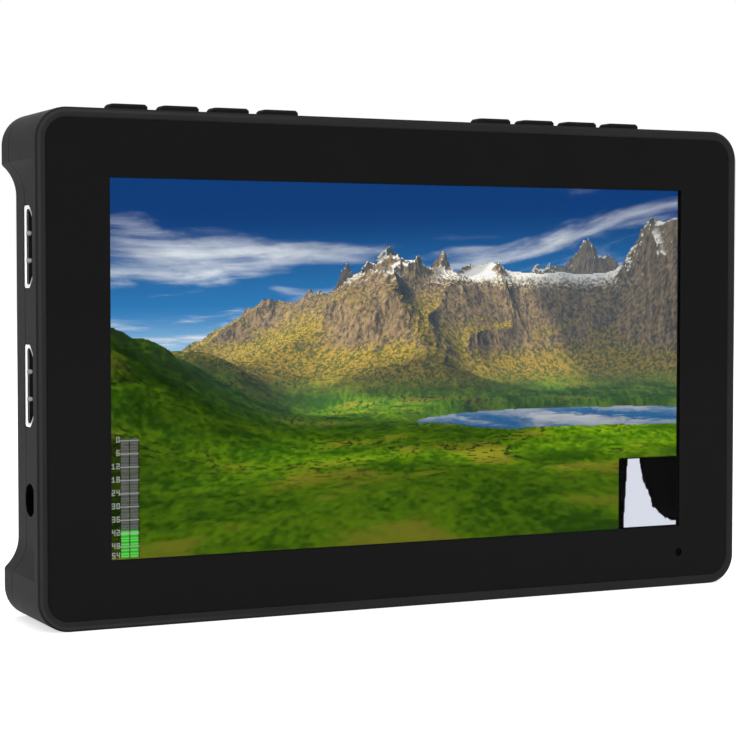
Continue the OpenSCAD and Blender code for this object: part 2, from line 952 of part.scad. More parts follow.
module mid_frame() {
    window_w = mid_half_w - window_side - window_rib / 2;
    window_h = 2 * (mid_half_h - window_end);
    placed() color("#9aa0a4")
        difference() {
            union() {
                along_y(mid_y, mid_back_y)
                    mid_outline();
                for (p = standoffs)
                    rod_y(p[0], p[1], mid_back_y - sink_in, board_front_y, standoff_r);
            }
            for (side = [-1, 1])
                along_y(mid_y - cut, mid_back_y + cut)
                    translate([side * (window_w + window_rib) / 2, 0])
                        rounded_rect(window_w, window_h, window_r);
            along_y(mid_y - cut, mid_back_y + cut)
                translate([-panel_ribbon_w / 2 - 1, -mid_half_h - cut])
                    square([panel_ribbon_w + 2, mid_half_h - panel_top_z + cut + 0.3]);
            rod_y(0, release_z, mid_y - cut, mid_back_y + cut, spring_post_r + room);
            for (x = tab_x, side = [-1, 1], z = [-boss_z, boss_z])
                rod_y(side * x, z, mid_y - cut, mid_back_y + cut, small_screw_r + seat);
            for (p = standoffs)
                rod_y(p[0], p[1], mid_y - cut, board_front_y + cut, small_screw_r + slip);
        }
}

module mid_outline() {
    square([2 * mid_half_w, 2 * mid_half_h], center = true);
    for (x = tab_x, side = [-1, 1], z = [-1, 1]) {
        translate([side * x - tab_r, z > 0 ? 0 : -boss_z])
            square([2 * tab_r, boss_z]);
        translate([side * x, z * boss_z])
            circle(tab_r);
    }
}

module main_board() {
    placed() color("#1f5136")
        difference() {
            along_y(board_front_y, board_y) {
                translate([-board_half_w, board_low_z])
                    square([2 * board_half_w, board_top_z - board_low_z]);
                translate([indicator_x - led_tab_half, indicator_z - led_tab_low])
                    square([2 * led_tab_half, board_low_z - indicator_z + led_tab_low + cut]);
            }
            for (p = concat(standoffs, sink_screws()))
                rod_y(p[0], p[1], board_front_y - cut, board_y + cut, small_screw_r + slip);
        }
}

function sink_screws() = [
    for (side = [-1, 1]) [chip_x, chip_z + side * (sink_h / 2 + sink_ear / 2)]
];

module video_chip() {
    placed() color("#1b1b1d")
        translate([chip_x, 0, chip_z])
            along_y(board_y, board_y + chip_h)
                square(chip_w, center = true);
}

module thermal_pad() {
    placed() color("#7f95a8")
        translate([chip_x, 0, chip_z])
            along_y(board_y + chip_h, sink_y)
                square(pad_w, center = true);
}

// Finned sink on the video chip, with two feet on the main board
module heat_sink() {
    first_fin = chip_x - fin_pitch * (fin_count - 1) / 2 - fin_t / 2;
    placed() color("#8d9296")
        difference() {
            union() {
                translate([chip_x, 0, chip_z])
                    along_y(sink_y, sink_y + sink_t)
                        square([sink_w, sink_h], center = true);
                for (i = [0 : fin_count - 1])
                    span(
                        [first_fin + i * fin_pitch, sink_y + sink_t - sink_in, chip_z - sink_h / 2],
                        [first_fin + i * fin_pitch + fin_t, fin_top_y, chip_z + sink_h / 2]
                    );
                for (p = sink_screws())
                    rod_y(p[0], p[1], board_y, sink_y + sink_t, sink_ear_r);
            }
            for (p = sink_screws())
                rod_y(p[0], p[1], board_y - cut, sink_y + sink_t + cut, small_screw_r + seat);
        }
}

module power_coils() {
    placed() color("#3b3d40")
        for (p = coil_places)
            translate([p[0], 0, p[1]])
                along_y(board_y, board_y + coil_h)
                    rounded_rect(coil_w, coil_w, coil_r);
}

module capacitors() {
    placed() color("#b9bcc0")
        for (p = concat(left_capacitors, right_capacitors))
            rod_y(p[0], p[1], board_y, board_y + capacitor_h, capacitor_r);
}

module board_connectors() {
    placed() color("#e9e4d6") {
        span(
            [-panel_socket_w / 2, board_front_y - socket_t, panel_socket_z],
            [panel_socket_w / 2, board_front_y, panel_socket_z + panel_socket_h]
        );
        for (side = [-1, 1])
            translate([side * key_socket_x - key_socket_w / 2, board_y, key_socket_z])
                cube([key_socket_w, socket_t, key_socket_h]);
        translate([plug_x - plug_w / 2, board_y, lead_z - plug_h / 2])
            cube([plug_w, plug_t, plug_h]);
    }
}

// Flat ribbon from the panel's lower edge round the tray to the main board's front
module panel_ribbon() {
    start_y = ledge_y + panel_t / 2;
    turn_z = -panel_top_z - 0.3;
    rise_y = board_front_y - socket_t / 2;
    path = [
        [start_y, -panel_top_z],
        [start_y, turn_z],
        [rise_y, turn_z],
        [rise_y, panel_socket_z],
    ];
    placed() color("#c98a3a")
        along_x(-panel_ribbon_w / 2, panel_ribbon_w / 2)
            strip(path, ribbon_t);
}

module key_ribbons() {
    y0 = board_y + socket_t / 2;
    placed() color("#d8d9db")
        for (side = [-1, 1])
            translate([side * key_socket_x - key_ribbon_w / 2, y0, key_socket_z + key_socket_h])
                cube([key_ribbon_w, ribbon_t, key_board_z - key_socket_z - key_socket_h]);
}

// Pan-head screw along Y: its head rests at seat_y, its shaft runs to the front
module pan_screw(p, seat_y, len, shaft_r, head_r, head_h) {
    slot = head_r / 4;
    difference() {
        rod_y(p[0], p[1], seat_y, seat_y + head_h, head_r);
        for (turn = [0, 90])
            translate([p[0], seat_y + head_h, p[1]])
                rotate([0, turn, 0])
                    cube([1.2 * head_r, head_h, slot], center = true);
    }
    rod_y(p[0], p[1], seat_y - len, seat_y + sink_in, shaft_r);
}

module inner_screws() {
    placed() color("#9fa3a6") {
        for (x = tab_x, side = [-1, 1], z = [-boss_z, boss_z])
            pan_screw(
                [side * x, z],
                mid_back_y,
                mid_back_y - lip_d - 0.4,
                small_screw_r,
                small_head_r,
                small_head_h
            );
        for (p = standoffs)
            pan_screw(p, board_y, 4.5, small_screw_r, small_head_r, small_head_h);
        for (p = sink_screws())
            pan_screw(
                p,
                sink_y + sink_t,
                sink_y + sink_t - board_y + board_t,
                small_screw_r,
                small_head_r,
                small_head_h
            );
    }
}

// Sheet-metal shell of a video socket, with two spring dimples on each long side
module hdmi_shell(z) {
    dimple_len = 1.5;
    dimple_r = 0.35;
    placed() color("#d5d7d9")
        translate([-port_out_x, board_y, z]) {
            along_x(0, hdmi_deep)
                difference() {
                    hdmi_outline(0);
                    hdmi_outline(hdmi_sheet);
                }
            for (y = [hdmi_sheet - slip, hdmi_short - hdmi_sheet + slip], side = [-1, 1])
                rod_x(y, side * hdmi_long / 6, seat, dimple_len, dimple_r);
        }
}

// Moulded core of a video socket: the back of the shell and the contact tongue
module hdmi_core(z) {
    back_x = hdmi_deep - 1.5;
    tongue_x = 1.4;
    low_y = 1.85;
    high_y = low_y + 1.4;
    placed() color("#161616")
        translate([-port_out_x, board_y, z]) {
            along_x(back_x, hdmi_deep - slip)
                hdmi_outline(hdmi_sheet + slip / 2);
            span([tongue_x, low_y, -hdmi_narrow], [back_x + sink_in, high_y, hdmi_narrow]);
        }
}

module hdmi_input_shell() {
    hdmi_shell(hdmi_in_z);
}

module hdmi_input_core() {
    hdmi_core(hdmi_in_z);
}

module hdmi_output_shell() {
    hdmi_shell(hdmi_out_z);
}

module hdmi_output_core() {
    hdmi_core(hdmi_out_z);
}

module headphone_jack() {
    y = board_y + phone_tall / 2;
    body_x = -(waist_in_x - port_gap);
    placed() color("#141414")
        difference() {
            union() {
                span(
                    [body_x, board_y, phone_z - phone_wide / 2],
                    [body_x + phone_deep, board_y + phone_tall, phone_z + phone_wide / 2]
                );
                rod_x(y, phone_z, -port_out_x, body_x + sink_in, phone_nose_r);
            }
            rod_x(y, phone_z, -port_out_x - cut, -port_out_x + phone_bore_deep, phone_bore_r);
        }
}

module dc_jack() {
    y = board_y + dc_tall / 2;
    body_x = waist_in_x - port_gap;
    placed() color("#141414")
        difference() {
            union() {
                span(
                    [body_x - dc_deep, board_y, dc_z - dc_wide / 2],
                    [body_x, board_y + dc_tall, dc_z + dc_wide / 2]
                );
                rod_x(y, dc_z, body_x - sink_in, port_out_x, dc_hole_r - seat);
            }
            rod_x(y, dc_z, port_out_x - dc_bore_deep, port_out_x + cut, dc_bore_r);
        }
}

module dc_jack_pin() {
    y = board_y + dc_tall / 2;
    placed() color("#c9ccd0")
        rod_x(y, dc_z, port_out_x - dc_bore_deep, port_out_x - dc_pin_down, dc_pin_r);
}

module usb_port_shell() {
    placed() color("#d0d2d5")
        translate([port_out_x - usb_deep, board_y, usb_z])
            along_x(0, usb_deep)
                difference() {
                    usb_outline(0);
                    usb_outline(-usb_sheet);
                }
}

module usb_port_core() {
    back_t = 1.4;
    tongue_half_t = 0.35;
    tongue_half_w = 3.35;
    tongue_down = 0.8;
    placed() color("#161616")
        translate([port_out_x - usb_deep, board_y, usb_z]) {
            along_x(slip, back_t)
                usb_outline(-usb_sheet - slip / 2);
            span(
                [back_t - sink_in, usb_short / 2 - tongue_half_t, -tongue_half_w],
                [usb_deep - tongue_down, usb_short / 2 + tongue_half_t, tongue_half_w]
            );
        }
}

// Light guide from the indicator window to the lamp on the main board
module indicator_lens() {
    collar_t = 1;
    collar_y = lip_d + collar_t;
    placed() color("#202224") {
        rod_y(indicator_x, indicator_z, glass_sink + 0.3, lip_d + sink_in, indicator_r - slip);
        rod_y(indicator_x, indicator_z, lip_d, collar_y, indicator_r + 0.7);
        rod_y(
            indicator_x,
            indicator_z,
            collar_y - sink_in,
            board_front_y - led_h - slip,
            indicator_r + 0.1
        );
    }
}

module indicator_led() {
    placed() color("#f2efe2")
        span(
            [indicator_x - led_w / 2, board_front_y - led_h, indicator_z - led_d / 2],
            [indicator_x + led_w / 2, board_front_y, indicator_z + led_d / 2]
        );
}

module key_board(side) {
    board_end = groove_in - slip;
    placed() color("#1f5136")
        mirror([side < 0 ? 1 : 0, 0, 0])
            span(
                [bracket_in_x - board_end, key_board_front_y, key_board_z],
                [bracket_out_x + board_end, key_board_back_y, key_board_z + board_t]
            );
}

module left_key_board() {
    key_board(-1);
}

module right_key_board() {
    key_board(1);
}

module key_switches() {
    bore = plunger_in + key_travel + seat;
    placed() color("#c7c9cc")
        for (side = [-1, 1], i = key_names)
            difference() {
                translate([side * key_x(i), key_y, switch_z])
                    linear_extrude(switch_h)
                        rounded_rect(switch_w, switch_w, 0.5);
                rod_z(
                    side * key_x(i),
                    key_y,
                    switch_top_z - bore,
                    switch_top_z + cut,
                    plunger_r + seat
                );
            }
}

// Key cap: a rounded head, a flange that stops under the top wall and a stem
module key_cap(side, i) {
    x = side * key_x(i);
    head_h = key_top_z - key_flange_z;
    placed() color("#1d1d1d") {
        translate([x, key_y, key_flange_z])
            linear_extrude(key_flange_t)
                rounded_rect(
                    key_w + 2 * key_flange_side,
                    key_d + 2 * key_flange_side,
                    key_r + key_flange_side
                );
        intersection() {
            translate([x, key_y, key_flange_z])
                linear_extrude(head_h + cut)
                    rounded_rect(key_w, key_d, key_r);
            translate([x, key_y, key_top_z])
                mirror([0, 0, 1])
                    flared_slab(
                        key_w - 2 * key_chamfer,
                        key_d - 2 * key_chamfer,
                        key_r - key_chamfer,
                        head_h,
                        head_h
                    );
        }
        rod_z(x, key_y, stem_z, key_flange_z + sink_in, stem_r);
    }
}

module plunger(side, i) {
    placed() color("#d8c9a2")
        rod_z(side * key_x(i), key_y, switch_top_z - plunger_in, stem_z, plunger_r);
}

module tripod_insert() {
    placed() color("#c2a15a")
        difference() {
            rod_z(0, insert_y, -body_h / 2, insert_top_z, insert_r);
            rod_z(0, insert_y, -body_h / 2 - cut, tripod_len - body_h / 2, tripod_r);
        }
}

module battery_plate() {
    placed() color("#222222")
        difference() {
            union() {
                along_y(body_d, plate_y)
                    plate_outline();
                intersection() {
                    along_y(body_d, total_d)
                        plate_outline();
                    union() {
                        for (side = [0, 1])
                            mirror([side, 0, 0])
                                span(
                                    [rail_in_x, body_d, plate_low_z],
                                    [plate_w / 2, total_d, plate_top_z]
                                );
                        span(
                            [-plate_w / 2, body_d, plate_low_z],
                            [plate_w / 2, total_d, plate_low_z + end_wall_t]
                        );
                    }
                }
                for (side = [0, 1], z = lip_starts)
                    mirror([side, 0, 0])
                        span(
                            [rail_in_x - lip_reach, total_d - lip_t, z],
                            [rail_in_x + sink_in, total_d, z + lip_len]
                        );
            }
            for (x = [-plate_screw_x, plate_screw_x], z = [-plate_screw_z, plate_screw_z]) {
                rod_y(x, z, plate_seat_y, plate_y + cut, case_head_r + head_gap);
                rod_y(x, z, body_d - cut, plate_y, case_screw_r + shaft_gap);
            }
            for (p = lead_places)
                rod_y(p[0], p[1], body_d - cut, plate_y + cut, lead_r + lead_gap);
        }
}

module plate_outline() {
    translate([0, (plate_low_z + plate_top_z) / 2])
        rounded_rect(plate_w, plate_h, plate_r);
}

module terminal_block() {
    placed() color("#161616")
        span([-block_w / 2, plate_y, block_z], [block_w / 2, plate_y + block_t, block_z + block_h]);
}

module terminal_blades() {
    y = plate_y + block_t / 2;
    placed() color("#d3b25c")
        for (i = [-1 : 1])
            span(
                [i * blade_pitch - blade_t / 2, y - blade_w / 2, block_z + block_h],
                [i * blade_pitch + blade_t / 2, y + blade_w / 2, block_z + block_h + blade_len]
            );
}

// Lead: in through the rear cover, along the cover's inside and down into the plug
module battery_lead(p) {
    place = [p[0], lead_turn_y, p[1]];
    rod_y(p[0], p[1], lead_turn_y + lead_bend, plate_y, lead_r);
    translate(place + [-lead_bend, lead_bend, 0])
        rotate(-90)
            lead_corner();
    rod_x(lead_turn_y, p[1], plug_x + lead_bend, p[0] - lead_bend, lead_r);
    translate([plug_x + lead_bend, lead_turn_y - lead_bend, p[1]])
        rotate(90)
            lead_corner();
    rod_y(plug_x, p[1], board_y + plug_t, lead_turn_y - lead_bend, lead_r);
}

module lead_corner() {
    rotate_extrude(angle = 90)
        translate([lead_bend, 0])
            circle(lead_r);
}

module battery_leads() {
    placed() color("#8c1f1f")
        for (p = lead_places)
            battery_lead(p);
}

// Release button: a thumb pad over the battery's upper end, with a ramped tooth that locks it
module release_button() {
    tooth_top_z = release_low_z + release_tooth_t;
    placed() color("#242424")
        difference() {
            union() {
                translate([0, 0, release_z]) {
                    along_y(release_flange_y, release_pad_y)
                        rounded_rect(release_w, release_h, release_r);
                    along_y(release_flange_y, release_flange_y + release_flange_t)
                        rounded_rect(
                            release_w + 2 * release_flange_side,
                            release_h + 2 * release_flange_side,
                            release_r + release_flange_side
                        );
                }
                along_x(-release_tooth_w / 2, release_tooth_w / 2)
                    polygon([
                        [release_pad_y - sink_in, release_low_z],
                        [release_tooth_y, release_low_z],
                        [release_tooth_y, tooth_top_z],
                        [release_pad_y - sink_in, tooth_top_z + release_ramp],
                    ]);
            }
            rod_y(0, release_z, release_flange_y - cut, release_pocket_y, release_pocket_r);
            for (i = [0 : 2])
                translate([0, 0, release_grip_z + i * release_grip_pitch])
                    along_y(release_pad_y - release_grip_deep, release_pad_y + cut)
                        square([release_grip_w, release_grip_t], center = true);
        }
}

// Height of the spring's wire above its seat after a number of turns: its end turns lie close
function spring_rise(turn) =
    let (
        close = spring_wire * 1.15,
        reach = release_pocket_y - spring_seat_y - spring_wire - 0.04,
        open = (reach - 2 * close) / (spring_turns - 2)
    )
    turn < 1 ? close * turn
    : turn > spring_turns - 1 ? reach - close * (spring_turns - turn)
    : close + open * (turn - 1);

// Ring of points round the wire at ring number i
function spring_ring(i) =
    let (
        turn = i / spring_rings,
        angle = 360 * turn,
        mid_r = spring_r - spring_wire / 2,
        mid_y = spring_seat_y + 0.02 + spring_wire / 2 + spring_rise(turn)
    )
    [
        for (k = [0 : spring_sides - 1])
            let (
                a = 360 * k / spring_sides,
                r = mid_r + spring_wire / 2 * cos(a)
            )
            [r * cos(angle), mid_y + spring_wire / 2 * sin(a), release_z + r * sin(angle)]
    ];

module release_spring() {
    ring_count = spring_turns * spring_rings + 1;
    points = [for (i = [0 : ring_count - 1]) each spring_ring(i)];
    last = (ring_count - 1) * spring_sides;
    skin = [
        for (i = [0 : ring_count - 2], k = [0 : spring_sides - 1])
            let (
                a = i * spring_sides + k,
                b = i * spring_sides + (k + 1) % spring_sides
            )
            each [[a, b, b + spring_sides], [a, b + spring_sides, a + spring_sides]]
    ];
    ends = [
        [for (k = [0 : spring_sides - 1]) spring_sides - 1 - k],
        [for (k = [0 : spring_sides - 1]) last + k],
    ];
    placed() color("#aeb2b5")
        polyhedron(points, concat(skin, ends));
}

module case_screws() {
    placed() color("#3a3a3c") {
        for (p = case_posts)
            pan_screw(p, case_seat_y, case_screw_len, case_screw_r, case_head_r, case_head_h);
        for (x = [-plate_screw_x, plate_screw_x], z = [-plate_screw_z, plate_screw_z])
            pan_screw([x, z], plate_seat_y, plate_screw_len, case_screw_r, case_head_r, plate_head_h);
    }
}

front_shell();
rear_cover();
cover_glass();
glass_tape();
bonding_layer();
lcd_panel();
backlight();
panel_tray();
foam_pads();
mid_frame();
main_board();
video_chip();
thermal_pad();
heat_sink();
power_coils();
capacitors();
board_connectors();
panel_ribbon();
key_ribbons();
inner_screws();
hdmi_input_shell();
hdmi_input_core();
hdmi_output_shell();
hdmi_output_core();
headphone_jack();
dc_jack();
dc_jack_pin();
usb_port_shell();
usb_port_core();
indicator_lens();
indicator_led();
left_key_board();
right_key_board();
key_switches();
tripod_insert();
battery_plate();
terminal_block();
terminal_blades();
battery_leads();
release_button();
release_spring();
case_screws();
for (i = key_names) {
    key_cap(-1, i);
    key_cap(1, i);
    plunger(-1, i);
    plunger(1, i);
}
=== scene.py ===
import bpy
import bmesh
import math
import numpy as np
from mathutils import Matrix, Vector


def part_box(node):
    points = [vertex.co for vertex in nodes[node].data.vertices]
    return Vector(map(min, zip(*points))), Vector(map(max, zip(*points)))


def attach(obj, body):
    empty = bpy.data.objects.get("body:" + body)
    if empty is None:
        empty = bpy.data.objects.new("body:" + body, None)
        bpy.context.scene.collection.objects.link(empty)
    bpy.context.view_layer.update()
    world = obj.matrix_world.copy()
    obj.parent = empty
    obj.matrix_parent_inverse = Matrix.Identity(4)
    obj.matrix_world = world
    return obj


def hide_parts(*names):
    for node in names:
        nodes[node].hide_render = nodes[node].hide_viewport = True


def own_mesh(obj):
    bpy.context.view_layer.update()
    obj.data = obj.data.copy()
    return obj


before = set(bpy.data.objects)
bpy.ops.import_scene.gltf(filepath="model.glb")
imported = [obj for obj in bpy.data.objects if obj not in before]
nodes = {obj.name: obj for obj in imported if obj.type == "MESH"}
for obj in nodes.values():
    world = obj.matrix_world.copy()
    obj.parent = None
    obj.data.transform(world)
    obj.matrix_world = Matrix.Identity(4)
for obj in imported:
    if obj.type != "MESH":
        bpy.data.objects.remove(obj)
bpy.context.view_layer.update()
mm = 0.001
print("frame loaded:", len(nodes), "nodes")

# Levels that several pieces share, in metres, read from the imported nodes
shellLow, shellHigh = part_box("front_shell")
frontY = shellLow[1]
seamY = shellHigh[1]
middleZ = (shellLow[2] + shellHigh[2]) / 2
litWide = 121.76 * mm
litHigh = 68.49 * mm

camera = {
    "left": 178.161,      # mm to the viewer's left of the monitor's middle
    "before": 346.657,    # mm in front of its front face
    "above": 15.246,      # mm above the screen's centre
    "turn": 0.4516,       # to the right, radians
    "dip": 0.0410,        # below the horizon, radians
    "lens": 99.755,       # mm
}


def makeCamera():
    data = bpy.data.cameras.new("viewCamera")
    data.lens = camera["lens"]
    data.sensor_width = 36
    data.clip_start = 0.01
    data.clip_end = 50
    holder = bpy.data.objects.new("viewCamera", data)
    bpy.context.scene.collection.objects.link(holder)
    holder.location = (
        -camera["left"] * mm,
        frontY - camera["before"] * mm,
        middleZ + camera["above"] * mm,
    )
    look = Vector((
        math.cos(camera["dip"]) * math.sin(camera["turn"]),
        math.cos(camera["dip"]) * math.cos(camera["turn"]),
        -math.sin(camera["dip"]),
    ))
    holder.rotation_euler = look.to_track_quat("-Z", "Y").to_euler()
    bpy.context.scene.camera = holder


makeCamera()
bpy.context.scene.view_settings.view_transform = "Standard"
print("camera placed")


def pair(operation):
    # an operator and its reflected form, each of which adds one Math node
    def plain(self, other):
        return self.worked(operation, self, other)

    def reflected(self, other):
        return self.worked(operation, other, self)

    return plain, reflected


class Wire:
    # one output socket: maths on it adds the nodes that work it out
    def __init__(self, finish, socket):
        self.finish = finish
        self.socket = socket

    def worked(self, operation, *values):
        return self.finish.node("Math", {"operation": operation}, dict(enumerate(values)))

    __add__, __radd__ = pair("ADD")
    __sub__, __rsub__ = pair("SUBTRACT")
    __mul__, __rmul__ = pair("MULTIPLY")
    __truediv__, __rtruediv__ = pair("DIVIDE")
    __mod__, __rmod__ = pair("FLOORED_MODULO")

    def __gt__(self, other):
        return self.worked("GREATER_THAN", self, other)

    def __lt__(self, other):
        return self.worked("LESS_THAN", self, other)

    def __abs__(self):
        return self.worked("ABSOLUTE", self)

    def sine(self):
        return self.worked("SINE", self)

    def root(self):
        return self.worked("SQRT", self)

    def high(self, other):
        return self.worked("MAXIMUM", self, other)

    def ease(self, start, end):
        # 0 at start, 1 at end, smooth between them
        settings = {"interpolation_type": "SMOOTHSTEP"}
        sockets = {"Value": self, "From Min": start, "From Max": end}
        return self.finish.node("MapRange", settings, sockets)

    def stripes(self, pitch, start, end):
        # 1 on lines that a pitch repeats, fading between two shares of it
        return abs((self % pitch) / pitch - 0.5).ease(start, end)

    def tint(self, first, second):
        # the colour between two colours, or colour wires, at this share
        settings = {"data_type": "RGBA"}
        sockets = {0: self, 6: first, 7: second}
        return self.finish.node("Mix", settings, sockets, out=2)

    def part(self, axis):
        return self.finish.node("SeparateXYZ", {}, {0: self}, out="XYZ".index(axis))

    def scaled(self, factors):
        settings = {"operation": "MULTIPLY"}
        return self.finish.node("VectorMath", settings, {0: self, 1: factors})


class Finish:
    # one material or world, made of nodes
    def __init__(self, name, world=False):
        store = bpy.data.worlds if world else bpy.data.materials
        self.output = "OutputWorld" if world else "OutputMaterial"
        self.owner = store.new(name)
        self.owner.use_nodes = True
        self.tree = self.owner.node_tree
        self.tree.nodes.clear()

    def node(self, kind, settings=None, sockets=None, out=0):
        made = self.tree.nodes.new("ShaderNode" + kind)
        for key, value in (settings or {}).items():
            setattr(made, key, value)
        for key, value in (sockets or {}).items():
            socket = made.inputs[key]
            if isinstance(value, Wire):
                self.tree.links.new(value.socket, socket)
            elif isinstance(value, tuple) and len(value) == 3 and socket.type == "RGBA":
                socket.default_value = (*value, 1)
            else:
                socket.default_value = value
        return Wire(self, made.outputs[out]) if made.outputs else None

    def place(self):
        # the point on the piece in metres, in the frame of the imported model
        return self.node("TexCoord", out=3)

    def noise(self, point, size, detail=3, rough=0.5, twist=0.0):
        sockets = {"Vector": point, "Scale": 1 / size, "Detail": detail}
        sockets.update({"Roughness": rough, "Distortion": twist})
        return self.node("TexNoise", {}, sockets)

    def cells(self, point, size):
        return self.node("TexVoronoi", {}, {"Vector": point, "Scale": 1 / size}, out="Distance")

    def bump(self, height, depth):
        return self.node("Bump", {}, {"Height": height, "Distance": depth})

    def emission(self, tone, strength):
        return self.node("Emission", {}, {"Color": tone, "Strength": strength})

    def clear(self):
        return self.node("BsdfTransparent", {}, {"Color": (1, 1, 1)})

    def mixed(self, share, first, second):
        return self.node("MixShader", {}, {0: share, 1: first, 2: second})

    def surface(self, **sockets):
        named = {words.replace("_", " "): value for words, value in sockets.items()}
        return self.node("BsdfPrincipled", {}, named)

    def close(self, shader):
        self.node(self.output, {}, {"Surface": shader})
        return self.owner


surroundings = {
    "floorTone": (0.86, 0.86, 0.86),
    "floorPaleTone": (0.90, 0.90, 0.90),
    "floorMottle": 0.12,     # metres from one paler spot to the next
    "floorHalf": 4.0,        # half its width, metres
    "floorGap": 0.02 * mm,   # below the underside
    "floorGlow": 0.62,       # adds white for the camera, so that only the shadow shows
    "ambient": 0.42,         # light from all round
}
# Watts, place and width of each lamp, in metres
lamps = {
    "leftLamp": (1.6, (-1.00, 0.10, 0.25), 0.7),
    "frontLamp": (6.6, (-0.25, -1.00, 0.75), 0.7),
    "topLamp": (0.7, (0.05, -0.05, 1.15), 0.9),
    "backLamp": (3.2, (0.55, 1.05, 0.60), 0.9),
}


def whiteRays(finish):
    # 1 for the rays that see the white background: the camera's, and those off metal and through glass
    kinds = ("Is Camera Ray", "Is Glossy Ray", "Is Transmission Ray")
    direct, glossy, through = [finish.node("LightPath", out=kind) for kind in kinds]
    return direct.high(glossy).high(through)


def makeFloor():
    finish = Finish("floorPaint")
    mottle = finish.noise(finish.place(), surroundings["floorMottle"], 2)
    colour = mottle.tint(surroundings["floorTone"], surroundings["floorPaleTone"])
    paint = finish.surface(Base_Color=colour, Roughness=0.8)
    dark = finish.emission((0, 0, 0), 0.0)
    glow = finish.emission((1, 1, 1), surroundings["floorGlow"])
    shown = finish.mixed(whiteRays(finish), dark, glow)
    material = finish.close(finish.node("AddShader", {}, {0: paint, 1: shown}))
    half, level = surroundings["floorHalf"], shellLow[2] - surroundings["floorGap"]
    mesh = bpy.data.meshes.new("floor")
    corners = [(x * half, y * half, level) for x, y in ((-1, -1), (1, -1), (1, 1), (-1, 1))]
    mesh.from_pydata(corners, [], [(0, 1, 2, 3)])
    mesh.materials.append(material)
    floor = bpy.data.objects.new("floor", mesh)
    bpy.context.scene.collection.objects.link(floor)


def makeWorld():
    sky = Finish("whiteRoom", world=True)
    strengths = (surroundings["ambient"], 1.0)
    dim, white = [sky.node("Background", {}, {"Color": (1, 1, 1), "Strength": s}) for s in strengths]
    bpy.context.scene.world = sky.close(sky.mixed(whiteRays(sky), dim, white))


def makeLamp(name, watts, place, size):
    data = bpy.data.lights.new(name, "AREA")
    data.energy = watts
    data.shape = "DISK"
    data.size = size
    lamp = bpy.data.objects.new(name, data)
    bpy.context.scene.collection.objects.link(lamp)
    lamp.location = place
    middle = Vector((0, 0, middleZ))
    lamp.rotation_euler = (middle - Vector(place)).to_track_quat("-Z", "Y").to_euler()


makeWorld()
makeFloor()
for name, (watts, place, size) in lamps.items():
    makeLamp(name, watts, place, size)
print("surroundings ready")


def dress(material, *names):
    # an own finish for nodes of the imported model
    for name in names:
        slots = nodes[name].data.materials
        slots.clear()
        slots.append(material)


def boxOf(name):
    # a node's lowest and highest corners at rest, and its middle
    low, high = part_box(name)
    return low, high, [(a + b) / 2 for a, b in zip(low, high)]


def addMesh(name, mesh, material):
    mesh.materials.append(material)
    piece = bpy.data.objects.new(name, mesh)
    bpy.context.scene.collection.objects.link(piece)
    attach(piece, "housing")
    return piece


def addPiece(name, shape, material, smooth=False):
    points, faces = shape
    mesh = bpy.data.meshes.new(name)
    mesh.from_pydata([tuple(point) for point in points], [], faces)
    working = bmesh.new()
    working.from_mesh(mesh)
    bmesh.ops.recalc_face_normals(working, faces=working.faces)
    working.to_mesh(mesh)
    working.free()
    mesh.polygons.foreach_set("use_smooth", [smooth] * len(mesh.polygons))
    return addMesh(name, mesh, material)


def skinned(rings, closed=False):
    # points and faces of a skin over equal rings: the last meets the first, or both ends are capped
    count, size = len(rings), len(rings[0])
    faces = []
    for i in range(count if closed else count - 1):
        for k in range(size):
            a, b = i * size + k, i * size + (k + 1) % size
            faces.append((a, (a + size) % (count * size), (b + size) % (count * size), b))
    if not closed:
        faces = [tuple(range(size)), *faces, tuple(count * size - 1 - k for k in range(size))]
    return [point for ring in rings for point in ring], faces


def bar(root, tip, across, up, chamfer):
    # a bar along X, drawn in at its tip; across and up are its limits in Y and Z
    back = math.copysign(chamfer, root - tip)
    rings = []
    for x, inset in ((root, 0), (tip + back, 0), (tip, chamfer)):
        y = (across[0] + inset / 2, across[1] - inset / 2)
        z = (up[0] + inset, up[1] - inset)
        rings.append([(x, y[0], z[0]), (x, y[1], z[0]), (x, y[1], z[1]), (x, y[0], z[1])])
    return skinned(rings)


def lathe(middle, profile, axis, sides=64):
    # a closed ring whose section is the profile: places along the axis and radii
    rings = []
    for i in range(sides):
        angle = math.tau * i / sides
        ring = []
        for along, radius in profile:
            offset = [radius * math.cos(angle), radius * math.sin(angle)]
            offset.insert(axis, along)
            ring.append([middle[k] + offset[k] for k in range(3)])
        rings.append(ring)
    return skinned(rings, closed=True)


def joined(shapes):
    # several point and face lists as one
    points, faces = [], []
    for shapePoints, shapeFaces in shapes:
        base = len(points)
        points += shapePoints
        faces += [tuple(base + i for i in face) for face in shapeFaces]
    return points, faces


# Moulded black housing: spark-eroded grain, the hairline where its two halves meet, a painted shade
# line on the outer bevel and a painted highlight just inside the front edge
housing = {
    "tone": (0.0230, 0.0230, 0.0235),
    "paleTone": (0.0285, 0.0285, 0.0290),
    "seamTone": (0.003, 0.003, 0.003),
    "rubbedAndSheenTone": (0.043, 0.043, 0.044),
    "grain": 0.22 * mm,
    "cloud": 21 * mm,
    "blotch": 3.5 * mm,
    "depth": 0.010 * mm,
    "seam": 0.30 * mm,           # half width of the dark hairline
    "corner": 5.8 * mm,          # radius of the front outline
    "groove": (0.16, 0.24, 0.38, 0.46),     # mm behind the front: the painted shade line round the bevel
    "grooveShare": 0.25,
    "grooveDeep": 0.4 * mm,      # how far inside the outline it still shows
    "rubbedAndSheen": (0.34, 0.46, 0.78, 1.00),     # mm inside the outline: the band of painted highlight just inside the front edge
    "sheenDeep": 0.3 * mm,      # how far behind the front it still shows
    "rubbedAndSheenFrom": 60 * mm,       # left of the middle, where the painted highlight has its full tone, on the side the light comes from
    "gloss": 0.026,
}


